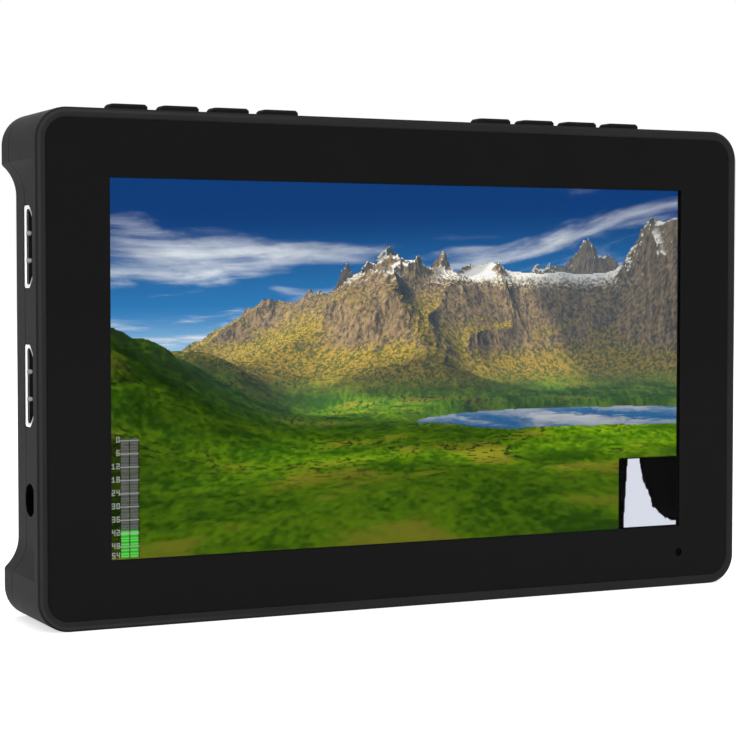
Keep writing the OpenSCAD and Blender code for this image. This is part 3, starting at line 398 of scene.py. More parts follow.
def insideOutline(point):
    # how far a point of the housing lies inside its front outline
    halfWide = (shellHigh[0] - shellLow[0]) / 2
    halfHigh = (shellHigh[2] - shellLow[2]) / 2
    across = (abs(point.part("X")) - (halfWide - housing["corner"])).high(0)
    up = (abs(point.part("Z") - middleZ) - (halfHigh - housing["corner"])).high(0)
    return housing["corner"] - (across * across + up * up).root()


def band(distance, limits):
    # 1 between the two inner limits, 0 outside the outer two
    a, b, c, d = [limit * mm for limit in limits]
    return distance.ease(a, b) * (1 - distance.ease(c, d))


def housingFinish():
    finish = Finish("housingPlastic")
    point = finish.place()
    grain = finish.noise(point, housing["grain"], 2, 0.6)
    cloud = finish.noise(point, housing["cloud"], 4, 0.55)
    blotch = finish.noise(point, housing["blotch"], 3, 0.6)
    seam = 1 - abs(point.part("Y") - seamY).ease(housing["seam"] * 0.5, housing["seam"])
    inside, behind = insideOutline(point), point.part("Y") - frontY
    # painted shade: a dark line on the outer bevel, where the rounded edge turns away from the lamps
    groove = band(behind, housing["groove"]) * (inside < housing["grooveDeep"])
    # painted highlight: a paler band just inside the front edge, strongest on the left where the light
    # falls
    paintedHighlight = band(inside, housing["rubbedAndSheen"]) * (behind < housing["sheenDeep"])
    paintedHighlight = paintedHighlight * point.part("X").ease(0, -housing["rubbedAndSheenFrom"])
    colour = (cloud * 0.6 + grain * 0.4).ease(0.3, 0.7).tint(housing["tone"], housing["paleTone"])
    colour = (paintedHighlight * (0.55 + blotch * 0.5)).tint(colour, housing["rubbedAndSheenTone"])
    skin = finish.surface(
        Base_Color=seam.high(groove * housing["grooveShare"]).tint(colour, housing["seamTone"]),
        Roughness=0.46 + blotch * 0.10 + grain * 0.05,
        Specular_IOR_Level=housing["gloss"],
        Normal=finish.bump(grain - seam * 3, housing["depth"]),
    )
    return finish.close(skin)


# Battery plate, its terminal block and the release button: a harder, slightly coarser moulding
plate = {
    "tone": (0.0125, 0.0125, 0.0130),
    "paleTone": (0.0190, 0.0190, 0.0195),
    "rubbedAndSheenTone": (0.034, 0.034, 0.035),     # where a battery has slid along the rails
    "grain": 0.34 * mm,
    "cloud": 12 * mm,
    "streak": 3 * mm,
    "depth": 0.014 * mm,
    "rubbedAndSheenFrom": 3.01 * mm,     # in front of the plate's back, where the rubbed tone starts
    "rubbedTo": 1.29 * mm,       # and where it has its full share
    "rubbedShare": 0.6,
}


def plateFinish():
    finish = Finish("platePlastic")
    point = finish.place()
    grain = finish.noise(point, plate["grain"], 3, 0.65)
    cloud = finish.noise(point, plate["cloud"], 4, 0.6)
    streak = finish.noise(point.scaled((9, 9, 0.5)), plate["streak"], 4, 0.7)
    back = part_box("battery_plate")[1][1]
    onRail = point.part("Y").ease(back - plate["rubbedAndSheenFrom"], back - plate["rubbedTo"])
    rubbedAndSheen = onRail * streak.ease(0.52, 0.72) * plate["rubbedShare"]
    colour = cloud.ease(0.3, 0.7).tint(plate["tone"], plate["paleTone"])
    colour = rubbedAndSheen.tint(colour, plate["rubbedAndSheenTone"])
    skin = finish.surface(
        Base_Color=colour,
        Roughness=0.42 + grain * 0.12 - rubbedAndSheen * 0.12,
        Specular_IOR_Level=0.25,
        Normal=finish.bump(grain, plate["depth"]),
    )
    return finish.close(skin)


dress(housingFinish(), "front_shell", "rear_cover")
dress(plateFinish(), "battery_plate", "terminal_block", "release_button")
print("housing and plate finished")


# Strokes of the printed marks, in mm from a key's middle: a bar is (x, y, half length, degrees), a
# ring (x, y, radius). The marks are plain pictograms.
keyPrint = {
    "line": 0.11 * mm,           # half thickness of a stroke
    "tone": (0.42, 0.42, 0.43),
    "rubber": (0.0125, 0.0125, 0.0130),
    "rubberPale": (0.0155, 0.0155, 0.0160),
    "grain": 0.16 * mm,
    "cloud": 2.5 * mm,
    "depth": 0.006 * mm,
    "gloss": 0.04,
    "marks": {
        "left_key_4": {"rings": [(0, -0.1, 0.95)], "bars": [(0, 0.75, 0.55, 90)]},
        "left_key_3": {"bars": [
            (-0.5, 0, 0.9, 0), (0.1, 0.3, 0.45, -45), (0.1, -0.3, 0.45, 45), (1.1, 0, 0.95, 90),
        ]},
        "left_key_2": {"bars": [
            (0, 0.8, 1.2, 0), (0, -0.8, 1.2, 0), (-1.2, 0, 0.8, 90), (1.2, 0, 0.8, 90),
        ]},
        "left_key_1": {"bars": [(0, 0.7, 1.1, 0), (0, 0, 1.1, 0), (0, -0.7, 1.1, 0)]},
        "right_key_1": {"bars": [(0.1, 0.4, 0.6, 45), (0.1, -0.4, 0.6, -45)]},
        "right_key_2": {"bars": [(-0.1, 0.4, 0.6, -45), (-0.1, -0.4, 0.6, 45)]},
        "right_key_3": {"bars": [(0, 0, 0.9, 0)]},
        "right_key_4": {"bars": [(0, 0, 0.9, 0), (0, 0, 0.9, 90)]},
    },
}


def barMask(x, y, stroke):
    middleX, middleY, halfLength, angle = stroke
    c, s = math.cos(math.radians(angle)), math.sin(math.radians(angle))
    dx, dy = x - middleX * mm, y - middleY * mm
    along = abs(dx * c + dy * s) - halfLength * mm
    across = dy * c - dx * s
    reach = along.high(0)
    return edgeOfLine((reach * reach + across * across).root())


def ringMask(x, y, stroke):
    middleX, middleY, radius = stroke
    dx, dy = x - middleX * mm, y - middleY * mm
    return edgeOfLine(abs((dx * dx + dy * dy).root() - radius * mm))


def edgeOfLine(distance):
    return 1 - distance.ease(keyPrint["line"] * 0.8, keyPrint["line"] * 1.2)


def keyFinish(name, marks):
    finish = Finish(name + "Rubber")
    high, middle = boxOf(name)[1:]
    point = finish.place()
    x, y = point.part("X") - middle[0], point.part("Y") - middle[1]
    mark, *others = [barMask(x, y, stroke) for stroke in marks["bars"]]
    for stroke in others + [ringMask(x, y, ring) for ring in marks.get("rings", [])]:
        mark = mark.high(stroke)
    mark = mark * (point.part("Z") > high[2] - 0.05 * mm)     # on the top face only
    grain = finish.noise(point, keyPrint["grain"], 2, 0.6)
    cloud = finish.noise(point, keyPrint["cloud"], 3, 0.6)
    rubber = cloud.ease(0.3, 0.7).tint(keyPrint["rubber"], keyPrint["rubberPale"])
    skin = finish.surface(
        Base_Color=(mark * (0.86 + 0.14 * grain)).tint(rubber, keyPrint["tone"]),
        Roughness=0.66 + 0.08 * grain - 0.14 * mark,
        Specular_IOR_Level=keyPrint["gloss"],
        Normal=finish.bump(grain + mark * 0.6, keyPrint["depth"]),
    )
    return finish.close(skin)


for name, marks in keyPrint["marks"].items():
    dress(keyFinish(name, marks), name)
print("keys finished")


# Front glass: a printed dark border round a clear window that is coated against reflections
glass = {
    "border": (0.0074, 0.0074, 0.0076),
    "borderPale": (0.0080, 0.0080, 0.0082),
    "borderGloss": 0.042,
    "coatIndex": 1.07,           # of the coated front: low, so that it mirrors little
    "smear": 17 * mm,
    "dust": 0.6 * mm,
    "blur": 0.015 * mm,          # of the border's edge
}


def glassFinish():
    finish = Finish("coverGlass")
    point = finish.place()
    across = abs(point.part("X")) - litWide / 2
    up = abs(point.part("Z") - middleZ) - litHigh / 2
    printed = across.high(up).ease(-glass["blur"], glass["blur"])
    smear = finish.noise(point.scaled((1, 1, 1.6)), glass["smear"], 5, 0.6, 0.4)
    dust = finish.noise(point, glass["dust"], 2, 0.7)
    ink = smear.ease(0.3, 0.7).tint(glass["border"], glass["borderPale"])
    border = finish.surface(
        Base_Color=ink,
        Roughness=0.10 + 0.10 * smear + 0.04 * dust,
        Specular_IOR_Level=glass["borderGloss"],
    )
    mirror = finish.node("BsdfAnisotropic", {}, {"Color": (1, 1, 1), "Roughness": 0.06})
    share = finish.node("Fresnel", {}, {"IOR": glass["coatIndex"]})
    window = finish.mixed(share * (0.85 + 0.3 * smear), finish.clear(), mirror)
    return finish.close(finish.mixed(printed, window, border))


# Optical gel behind the glass: clear, with the faintest cloud
bond = {"haze": (0.5, 0.52, 0.55), "share": 0.0012, "cloud": 9 * mm}


def bondFinish():
    finish = Finish("clearBond")
    cloud = finish.noise(finish.place(), bond["cloud"], 4, 0.6)
    haze = finish.surface(Base_Color=bond["haze"], Roughness=0.5)
    return finish.close(finish.mixed(cloud.ease(0.55, 0.9) * bond["share"], finish.clear(), haze))


# Smoked light guide of the indicator, a little paler in its middle
lens = {
    "tone": (0.0022, 0.0018, 0.0018),
    "rimTone": (0.0006, 0.0006, 0.0007),
    "paler": (0.1 * mm, 0.75 * mm),     # from the middle, where the tone turns to the rim's
    "grain": 0.12 * mm,
    "gloss": 0.02,
}


def lensFinish():
    finish = Finish("smokedLens")
    point = finish.place()
    middle = boxOf("indicator_lens")[2]
    x, z = point.part("X") - middle[0], point.part("Z") - middle[2]
    rim = (x * x + z * z).root().ease(*lens["paler"])
    grain = finish.noise(point, lens["grain"], 2)
    skin = finish.surface(
        Base_Color=rim.tint(lens["tone"], lens["rimTone"]),
        Roughness=0.14 + 0.1 * grain,
        Specular_IOR_Level=lens["gloss"],
    )
    return finish.close(skin)


dress(glassFinish(), "cover_glass")
dress(bondFinish(), "bonding_layer")
dress(lensFinish(), "indicator_lens")
print("glass finished")


# Metals: tone and paler tone, roughness, size of the marks in mm and how they are drawn out, depth
# of the marks in mm, and the nodes dressed in it
metalLooks = {
    "pinPlating": ((0.74, 0.75, 0.77), (0.93, 0.93, 0.94), 0.24, 0.5, (5, 1, 1), 0.003,
                   ["dc_jack_pin"]),
    "frameAlloy": ((0.42, 0.43, 0.45), (0.58, 0.59, 0.61), 0.42, 0.3, (1, 1, 12), 0.004,
                   ["mid_frame", "heat_sink"]),
    "traySteel": ((0.46, 0.47, 0.48), (0.62, 0.63, 0.64), 0.30, 0.35, (14, 1, 1), 0.003,
                  ["panel_tray"]),
    "screwSteel": ((0.48, 0.49, 0.51), (0.66, 0.67, 0.69), 0.28, 0.22, (1, 9, 1), 0.004,
                   ["inner_screws", "release_spring"]),
    "screwBlack": ((0.020, 0.020, 0.021), (0.045, 0.045, 0.047), 0.36, 0.18, (1, 1, 1), 0.006,
                   ["case_screws"]),
    "canAluminium": ((0.55, 0.56, 0.58), (0.70, 0.71, 0.73), 0.26, 0.2, (1, 8, 1), 0.003,
                     ["capacitors"]),
    "switchSteel": ((0.44, 0.45, 0.46), (0.60, 0.61, 0.62), 0.32, 0.25, (9, 1, 1), 0.003,
                    ["key_switches"]),
    "insertBrass": ((0.50, 0.33, 0.11), (0.70, 0.49, 0.20), 0.27, 0.16, (1, 1, 10), 0.005,
                    ["tripod_insert", "terminal_blades"]),
    "contactGold": ((0.40, 0.26, 0.07), (0.55, 0.38, 0.13), 0.34, 0.08, (8, 1, 1), 0.001, []),
    "contactNickel": ((0.62, 0.62, 0.63), (0.78, 0.78, 0.79), 0.26, 0.08, (8, 1, 1), 0.001, []),
    "lipPlating": ((0.78, 0.78, 0.79), (0.90, 0.90, 0.90), 0.34, 0.4, (1, 1, 4), 0.002, []),
    "springSteel": ((0.46, 0.47, 0.49), (0.64, 0.65, 0.67), 0.24, 0.22, (1, 6, 1), 0.003, []),
}


def metal(name, tone, paleTone, rough, size, stretch, depth):
    finish = Finish(name)
    point = finish.place()
    lines = finish.noise(point.scaled(stretch), size * mm, 4, 0.62)
    cloud = finish.noise(point, size * 14 * mm, 3, 0.55)
    skin = finish.surface(
        Base_Color=(lines * 0.55 + cloud * 0.45).ease(0.28, 0.72).tint(tone, paleTone),
        Metallic=1.0,
        Roughness=rough + 0.16 * (lines - 0.5) + 0.16 * (cloud - 0.5),
        Normal=finish.bump(lines, depth * mm),
    )
    return finish.close(skin)


# A socket's shell is bright at its rim and on the dimples behind it; deeper inside, and on the front
# half of a video socket's rim, it is painted dark as shade
socketRim = {
    "tone": (0.86, 0.86, 0.87),
    "paleTone": (0.95, 0.95, 0.95),
    "insideShadeTone": (0.010, 0.010, 0.011),
    "frontShadeTone": (0.22, 0.22, 0.23),     # painted shade on the rim's front half, as if in the lip's shadow
    "frontShadeFrom": (-0.7, -1.4),    # mm from the middle to the front, where the painted shade sets in
    "bright": 0.45,          # mm behind the mouth that stay free of the painted shade
    "fade": 0.25,            # mm over which the painted shade sets in
    "dimpleApart": 2.508,    # mm from the middle to each dimple
    "dimpleWide": 0.42,
    "dimpleDown": 1.0,       # mm behind the mouth that a dimple stays bright
    "dimpleDeep": 0.45,      # mm that it reaches in from the sheet
    # thickness of the sheet in mm, 1 for a socket that opens to the left and -1 to the right, dimples
    "shells": {
        "hdmi_input_shell": (0.45, 1, True),
        "hdmi_output_shell": (0.45, 1, True),
        "usb_port_shell": (0.3, -1, False),
    },
}


def shellFinish(name, sheet, inward, dimples):
    finish = Finish(name + "Plating")
    low, high, middle = boxOf(name)
    point = finish.place()
    down = (point.part("X") - low[0]) if inward > 0 else (high[0] - point.part("X"))
    y, z = point.part("Y") - middle[1], point.part("Z") - middle[2]
    halfY, halfZ = (high[1] - low[1]) / 2, (high[2] - low[2]) / 2
    lines = finish.noise(point.scaled((1, 1, 5)), 0.5 * mm, 4, 0.62)
    cloud = finish.noise(point, 7 * mm, 3, 0.55)
    inner = (abs(y) < halfY - sheet * 0.85 * mm) * (abs(z) < halfZ - sheet * 0.85 * mm)
    shine = (lines * 0.55 + cloud * 0.45).ease(0.28, 0.72)
    shine = shine.tint(socketRim["tone"], socketRim["paleTone"])
    reach, onDimple = socketRim["bright"] * mm, 0.0
    if dimples:
        wide = socketRim["dimpleWide"] * mm
        near = 1 - abs(abs(z) - socketRim["dimpleApart"] * mm).ease(wide * 0.8, wide * 1.2)
        onDimple = inner * near * (y > halfY - (sheet + socketRim["dimpleDeep"]) * mm)
        reach = reach + onDimple * ((socketRim["dimpleDown"] - socketRim["bright"]) * mm)
        # painted shade: the rim's front half is darkened, as if in the lip's shadow
        frontShade = y.ease(*[place * mm for place in socketRim["frontShadeFrom"]])
        shine = frontShade.tint(shine, socketRim["frontShadeTone"])
    # painted shade: deeper inside the shell the plating turns dark
    dark = inner * (down - reach).ease(0, socketRim["fade"] * mm)
    skin = finish.surface(
        Base_Color=dark.tint(shine, socketRim["insideShadeTone"]),
        Metallic=1 - 0.9 * dark.high(onDimple),
        Roughness=0.30 + 0.08 * (lines - 0.5) + 0.4 * dark,
        Specular_IOR_Level=0.2,
        Normal=finish.bump(lines, 0.003 * mm),
    )
    return finish.close(skin)


metals = {}
for name, (*look, names) in metalLooks.items():
    metals[name] = metal(name, *look)
    dress(metals[name], *names)
for name, (sheet, inward, dimples) in socketRim["shells"].items():
    dress(shellFinish(name, sheet, inward, dimples), name)
print("metals finished")


# Matte and satin mouldings: tone and paler tone, roughness, size of the grain and depth of the bump
# in mm, gloss, and the nodes dressed in it
plungers = [side + "_plunger_" + str(i) for side in ("left", "right") for i in (1, 2, 3, 4)]
mouldingLooks = {
    "socketBlack": ((0.0055, 0.0055, 0.006), (0.0095, 0.0095, 0.010), 0.40, 0.15, 0.005, 0.22,
                    ["usb_port_core", "dc_jack"]),
    "deepBlack": ((0.0012, 0.0012, 0.0013), (0.0022, 0.0022, 0.0024), 0.6, 0.15, 0.004, 0.0,
                  ["hdmi_input_core", "hdmi_output_core", "headphone_jack"]),
    "mountingTape": ((0.007, 0.007, 0.007), (0.012, 0.012, 0.012), 0.7, 0.3, 0.01, 0.3, ["glass_tape"]),
    "connectorIvory": ((0.62, 0.58, 0.47), (0.76, 0.72, 0.60), 0.45, 0.25, 0.005, 0.3,
                       ["board_connectors"]),
    "plungerPlastic": ((0.50, 0.41, 0.24), (0.64, 0.54, 0.34), 0.4, 0.2, 0.004, 0.3, plungers),
    "diffuserSheet": ((0.74, 0.76, 0.79), (0.86, 0.87, 0.89), 0.35, 0.12, 0.003, 0.3, ["backlight"]),
    "lampBody": ((0.72, 0.69, 0.56), (0.86, 0.84, 0.74), 0.3, 0.2, 0.003, 0.3, ["indicator_led"]),
    "thermalSilicone": ((0.16, 0.25, 0.36), (0.26, 0.37, 0.49), 0.75, 0.4, 0.02, 0.3, ["thermal_pad"]),
    "chipBlack": ((0.011, 0.011, 0.012), (0.019, 0.019, 0.020), 0.5, 0.1, 0.006, 0.3, ["video_chip"]),
    "sealRubber": ((0.0085, 0.0085, 0.0087), (0.0125, 0.0125, 0.0128), 0.7, 0.12, 0.003, 0.02, []),
}


def moulding(name, tone, paleTone, rough, grainSize, depth, gloss):
    finish = Finish(name)
    point = finish.place()
    grain = finish.noise(point, grainSize * mm, 3, 0.6)
    cloud = finish.noise(point, grainSize * 18 * mm, 3, 0.6)
    skin = finish.surface(
        Base_Color=(grain * 0.4 + cloud * 0.6).ease(0.3, 0.7).tint(tone, paleTone),
        Roughness=rough + 0.1 * (grain - 0.5),
        Specular_IOR_Level=gloss,
        Normal=finish.bump(grain, depth * mm),
    )
    return finish.close(skin)


mouldings = {}
for name, (*look, names) in mouldingLooks.items():
    mouldings[name] = moulding(name, *look)
    dress(mouldings[name], *names)


# Seal in the gap round the glass; from and to are mm behind the front
seal = {"from": 0.17, "to": 0.90, "gap": 0.12, "corner": 3.95, "clear": 0.01, "steps": 14}


def roundedOutline(halfWide, halfHigh, corner, steps):
    points = []
    for quarter, (x, z) in enumerate(((1, 1), (-1, 1), (-1, -1), (1, -1))):
        for i in range(steps + 1):
            angle = math.pi / 2 * (quarter + i / steps)
            points.append((x * (halfWide - corner) + corner * math.cos(angle),
                           z * (halfHigh - corner) + corner * math.sin(angle)))
    return points


def makeSeal():
    low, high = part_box("cover_glass")
    gap, clear, corner = seal["gap"] * mm, seal["clear"] * mm, seal["corner"] * mm
    wide, tall = (high[0] - low[0]) / 2, (high[2] - low[2]) / 2
    inner = roundedOutline(wide + clear, tall + clear, corner - gap, seal["steps"])
    outer = roundedOutline(wide + gap - clear, tall + gap - clear, corner, seal["steps"])
    rings = []
    for outline, level in ((inner, "from"), (outer, "from"), (outer, "to"), (inner, "to")):
        rings.append([(x, frontY + seal[level] * mm, middleZ + z) for x, z in outline])
    addPiece("glassSeal", skinned(rings, closed=True), mouldings["sealRubber"])


# Foam pads with open cells
foam = {
    "tone": (0.012, 0.012, 0.012),
    "paleTone": (0.075, 0.075, 0.078),
    "cell": 0.35 * mm,
    "cloud": 5 * mm,
    "depth": 0.06 * mm,
}


def foamFinish():
    finish = Finish("softFoam")
    point = finish.place()
    cell = finish.cells(point, foam["cell"])
    cloud = finish.noise(point, foam["cloud"], 3)
    skin = finish.surface(
        Base_Color=(cell * 0.7 + cloud * 0.3).tint(foam["tone"], foam["paleTone"]),
        Roughness=0.9,
        Normal=finish.bump(1 - cell, foam["depth"]),
    )
    return finish.close(skin)


# Coil cores of pressed powder with a few bright flecks
ferrite = {
    "tone": (0.028, 0.029, 0.031),
    "paleTone": (0.062, 0.063, 0.067),
    "fleckTone": (0.16, 0.16, 0.17),
    "grain": 0.14 * mm,
    "fleck": 0.3 * mm,
    "depth": 0.012 * mm,
}


def ferriteFinish():
    finish = Finish("ferriteCore")
    point = finish.place()
    grain = finish.noise(point, ferrite["grain"], 4, 0.7)
    fleck = finish.cells(point, ferrite["fleck"]).ease(0.10, 0.04)
    powder = grain.tint(ferrite["tone"], ferrite["paleTone"])
    skin = finish.surface(
        Base_Color=fleck.tint(powder, ferrite["fleckTone"]),
        Metallic=0.3,
        Roughness=0.5 + 0.15 * grain,
        Normal=finish.bump(grain, ferrite["depth"]),
    )
    return finish.close(skin)


# Green boards: laminate weave under the mask, copper lines and tinned spots
board = {
    "mask": (0.006, 0.085, 0.034),
    "maskPale": (0.010, 0.120, 0.050),
    "copper": (0.016, 0.190, 0.075),     # copper shows through the mask as a paler green
    "tin": (0.60, 0.59, 0.55),
    "weave": 0.5 * mm,
    "lineStep": 0.9 * mm,
    "spotStep": 3.1 * mm,
    "region": 11 * mm,       # stretches in which the lines run one way
    "bend": 4 * mm,          # how far the lines wander
    "bendStep": 6 * mm,
    "depth": 0.03 * mm,
    "cloud": 8 * mm,
}


def boardFinish():
    finish = Finish("circuitBoard")
    point = finish.place()
    x, z = point.part("X"), point.part("Z")
    turn = math.tau / board["weave"]
    weave = ((x * turn).sine() * (z * turn).sine()) * 0.5 + 0.5
    region = finish.noise(point, board["region"], 1) > 0.5
    bend = finish.noise(point, board["bendStep"], 1) * board["bend"]
    lineX = (x + bend).stripes(board["lineStep"], 0.16, 0.12)
    lineZ = (z + bend).stripes(board["lineStep"], 0.16, 0.12)
    copper = region * lineX + (1 - region) * lineZ
    spot = finish.cells(point, board["spotStep"]).ease(0.15, 0.12)
    cloud = finish.noise(point, board["cloud"], 3)
    mask = (cloud * 0.7 + weave * 0.3).tint(board["mask"], board["maskPale"])
    skin = finish.surface(
        Base_Color=spot.tint((copper * 0.8).tint(mask, board["copper"]), board["tin"]),
        Metallic=spot * 0.9,
        Roughness=0.33 + 0.06 * weave,
        Normal=finish.bump(copper * 0.8 + spot + weave * 0.1, board["depth"]),
    )
    return finish.close(skin)


# Ribbons: a film over flat lines that run along it, amber to the panel and white to the keys
panelRibbon = {
    "tone": (0.40, 0.15, 0.020),
    "paleTone": (0.52, 0.22, 0.035),
    "lineTone": (0.62, 0.34, 0.09),
    "lineShare": 0.7,
    "pitch": 0.5 * mm,
    "edge": (0.30, 0.22),    # shares of the pitch between which a line fades
    "cloud": 4 * mm,
    "rough": 0.24,
    "depth": 0.02 * mm,
}
keyRibbon = {
    "tone": (0.70, 0.71, 0.73),
    "paleTone": (0.80, 0.81, 0.83),
    "lineTone": (0.46, 0.47, 0.50),
    "lineShare": 0.6,
    "pitch": 1.0 * mm,
    "edge": (0.34, 0.26),
    "cloud": 3 * mm,
    "rough": 0.3,
    "depth": 0.03 * mm,
}


def ribbonFinish(name, look):
    finish = Finish(name)
    point = finish.place()
    line = point.part("X").stripes(look["pitch"], *look["edge"])
    cloud = finish.noise(point, look["cloud"], 3)
    film = cloud.tint(look["tone"], look["paleTone"])
    skin = finish.surface(
        Base_Color=(line * look["lineShare"]).tint(film, look["lineTone"]),
        Roughness=look["rough"] + 0.1 * cloud,
        Normal=finish.bump(line, look["depth"]),
    )
    return finish.close(skin)


# Battery leads: the upper one is red, the lower one black
leads = {
    "red": ((0.30, 0.012, 0.012), (0.42, 0.022, 0.020)),
    "black": ((0.010, 0.010, 0.011), (0.020, 0.020, 0.021)),
    "grain": 0.2 * mm,
    "cloud": 3 * mm,
    "depth": 0.01 * mm,
}


def leadFinish():
    finish = Finish("leadInsulation")
    point = finish.place()
    upper = point.part("Z") > boxOf("battery_leads")[2][2]
    grain = finish.noise(point, leads["grain"], 3)
    cloud = finish.noise(point, leads["cloud"], 3)
    skin = finish.surface(
        Base_Color=upper.tint(cloud.tint(*leads["black"]), cloud.tint(*leads["red"])),
        Roughness=0.38 + 0.15 * grain,
        Normal=finish.bump(grain, leads["depth"]),
    )
    return finish.close(skin)


# Screen module: polariser and dark border
panel = {
    "tone": (0.008, 0.009, 0.012),
    "paleTone": (0.014, 0.015, 0.018),
    "grain": 0.3 * mm,
    "cloud": 20 * mm,
    "gloss": 0.3,
}


def panelFinish():
    finish = Finish("screenPanel")
    point = finish.place()
    grain = finish.noise(point, panel["grain"], 2)
    cloud = finish.noise(point, panel["cloud"], 3)
    skin = finish.surface(
        Base_Color=cloud.tint(panel["tone"], panel["paleTone"]),
        Roughness=0.3 + 0.1 * grain,
        Specular_IOR_Level=panel["gloss"],
    )
    return finish.close(skin)


dress(foamFinish(), "foam_pads")
dress(ferriteFinish(), "power_coils")
dress(boardFinish(), "main_board", "left_key_board", "right_key_board")
dress(ribbonFinish("amberRibbon", panelRibbon), "panel_ribbon")
dress(ribbonFinish("whiteRibbon", keyRibbon), "key_ribbons")
dress(leadFinish(), "battery_leads")
dress(panelFinish(), "lcd_panel")
makeSeal()
print("inner parts finished")


# An invented valley under a windy sky, worked out point by point
picture = {
    "columns": 560,
    "rows": 315,
    "seed": 11,
    "eyeHeight": 2.2,
    "horizon": 0.47,       # share of the picture's height, from below
    "spread": 1.25,        # width of the view at distance 1
    "sun": (-0.62, -0.28, 0.52),
    "sunlight": (2.7, 2.25, 1.55),
    "skylight": (0.36, 0.50, 0.66),
    "shadow": 0.9,         # how far the ground's own shadows darken it
    "cloudShadow": 0.72,
    "fog": (0.36, 0.52, 0.68),
    "fogFrom": 16,         # distance at which it starts
    "fogGrowth": 0.0070,
    "fogShare": 0.55,
    "waterLevel": 0.02,
    "ahead": 0.02,         # mm in front of the panel
    "glow": 1.0,
    "behind": (0.0008, 0.0008, 0.0009),     # the unlit panel
}
# Tones of the sky, and of the land from its dark to its pale spots
skyLook = {
    "low": (0.42, 0.70, 0.88),
    "middle": (0.035, 0.24, 0.56),
    "high": (0.003, 0.046, 0.200),
    "haze": (0.74, 0.84, 0.90),
    "cloud": (0.90, 0.95, 1.0),
}
landLook = {
    "grass": ((0.020, 0.080, 0.002), (0.125, 0.260, 0.004)),
    "straw": (0.30, 0.20, 0.03),
    "moss": ((0.055, 0.075, 0.010), (0.30, 0.215, 0.030)),
    "rock": ((0.030, 0.028, 0.028), (0.27, 0.20, 0.115)),
    "snow": (0.80, 0.84, 0.90),
    "wood": (0.008, 0.022, 0.007),
}


def smoothNoise(x, y, table):
    column = np.floor(x).astype(int)
    row = np.floor(y).astype(int)
    fx = x - column
    fy = y - row
    fx = fx * fx * fx * (fx * (fx * 6 - 15) + 10)
    fy = fy * fy * fy * (fy * (fy * 6 - 15) + 10)
    a = table[row & 255, column & 255]
    b = table[row & 255, (column + 1) & 255]
    c = table[(row + 1) & 255, column & 255]
    d = table[(row + 1) & 255, (column + 1) & 255]
    return a + (b - a) * fx + (c - a) * fy + (a - b - c + d) * fx * fy


def layered(x, y, table, octaves, gain=0.5, ridged=False):
    # octaves of noise, each turned and twice as fine; ridged noise folds into crests
    total = np.zeros_like(x)
    weight = np.ones_like(x)
    strength, whole = 1.0, 0.0
    for i in range(octaves):
        n = smoothNoise(x + 17.3 * i, y + 9.1 * i, table)
        if ridged:
            n = (1 - np.abs(2 * n - 1)) ** 2 * weight
            weight = np.clip(n * 1.6, 0, 1)
        total += n * strength
        whole += strength
        strength *= gain
        x, y = 1.6 * x - 1.2 * y, 1.2 * x + 1.6 * y
    return total / whole


def step(low, high, value):
    t = np.clip((value - low) / (high - low), 0, 1)
    return t * t * (3 - 2 * t)


def blendTones(first, second, share):
    first, second = np.array(first), np.array(second)
    return first + (second - first) * share[..., None]


def groundHeight(x, y, table, octaves=9):
    # meadow near the eye, a lake, a mountain chain behind it and a dark slope on the left
    meadow = 0.5 * layered(x * 0.11, y * 0.11, table, 4)
    meadow = meadow + 0.03 * layered(x * 1.3, y * 1.3, table, 4)
    lake = np.hypot((x - (5.5 + 0.16 * y)) / 9.5, (y - 23) / 6.5)
    lake = lake + 0.35 * (layered(x * 0.16, y * 0.16, table, 4) - 0.5)
    meadow = 0.10 + meadow - 1.1 * step(1.15, 0.75, lake)
    far = step(27, 52, y + 0.25 * x)
    peaks = layered(x * 0.042 + 4.3, y * 0.042 + 1.7, table, octaves, 0.50, True)
    shape = 0.30 + 0.70 * step(-36, 6, x) * step(62, 20, x)
    chain = far * (1.2 + 20.0 * peaks * shape)
    slope = step(-2.6, -13, x + 0.10 * y) * step(3, 12, y) * step(46, 26, y)
    side = slope * (1.2 + 5.6 * layered(x * 0.12 + 8, y * 0.12, table, octaves - 1, 0.5))
    return meadow + chain + side


def skyTones(u, v, table):
    lift = np.clip((v - picture["horizon"]) / (1 - picture["horizon"]), 0, 1)
    tones = blendTones(skyLook["low"], skyLook["middle"], step(0, 0.38, lift))
    tones = blendTones(tones, skyLook["high"], step(0.20, 0.90, lift + 0.12 * (0.5 - u)))
    # clouds drawn out by the wind, on a flat sheet overhead
    depth = 1 / (lift * 0.9 + 0.12)
    x = (u - 0.5) * depth * 1.7
    y = depth * 1.1
    bend = layered(x * 0.7 + 3, y * 0.7, table, 4) - 0.5
    drawnX, drawnY = (x * 0.9 - y * 0.5) * 1.1 + bend * 2.2, (x * 0.6 + y * 1.5) * 2.2 + bend * 3
    streak = layered(drawnX, drawnY, table, 7, 0.55)
    puff = layered(x * 2.1 + bend * 1.5 + 20, y * 2.6 + 11, table, 7, 0.56)
    cover = streak * 0.62 + puff * 0.38 + 0.07 * step(0.15, 0.8, u) - 0.10 * step(0.6, 0.95, lift)
    cover = step(0.47, 0.74, cover) * step(0.0, 0.12, lift)
    shade = 0.62 + 0.42 * puff
    tones = blendTones(tones, shade[..., None] * np.array(skyLook["cloud"]), cover * 0.92)
    return blendTones(tones, skyLook["haze"], step(0.16, 0.0, lift) * 0.8)


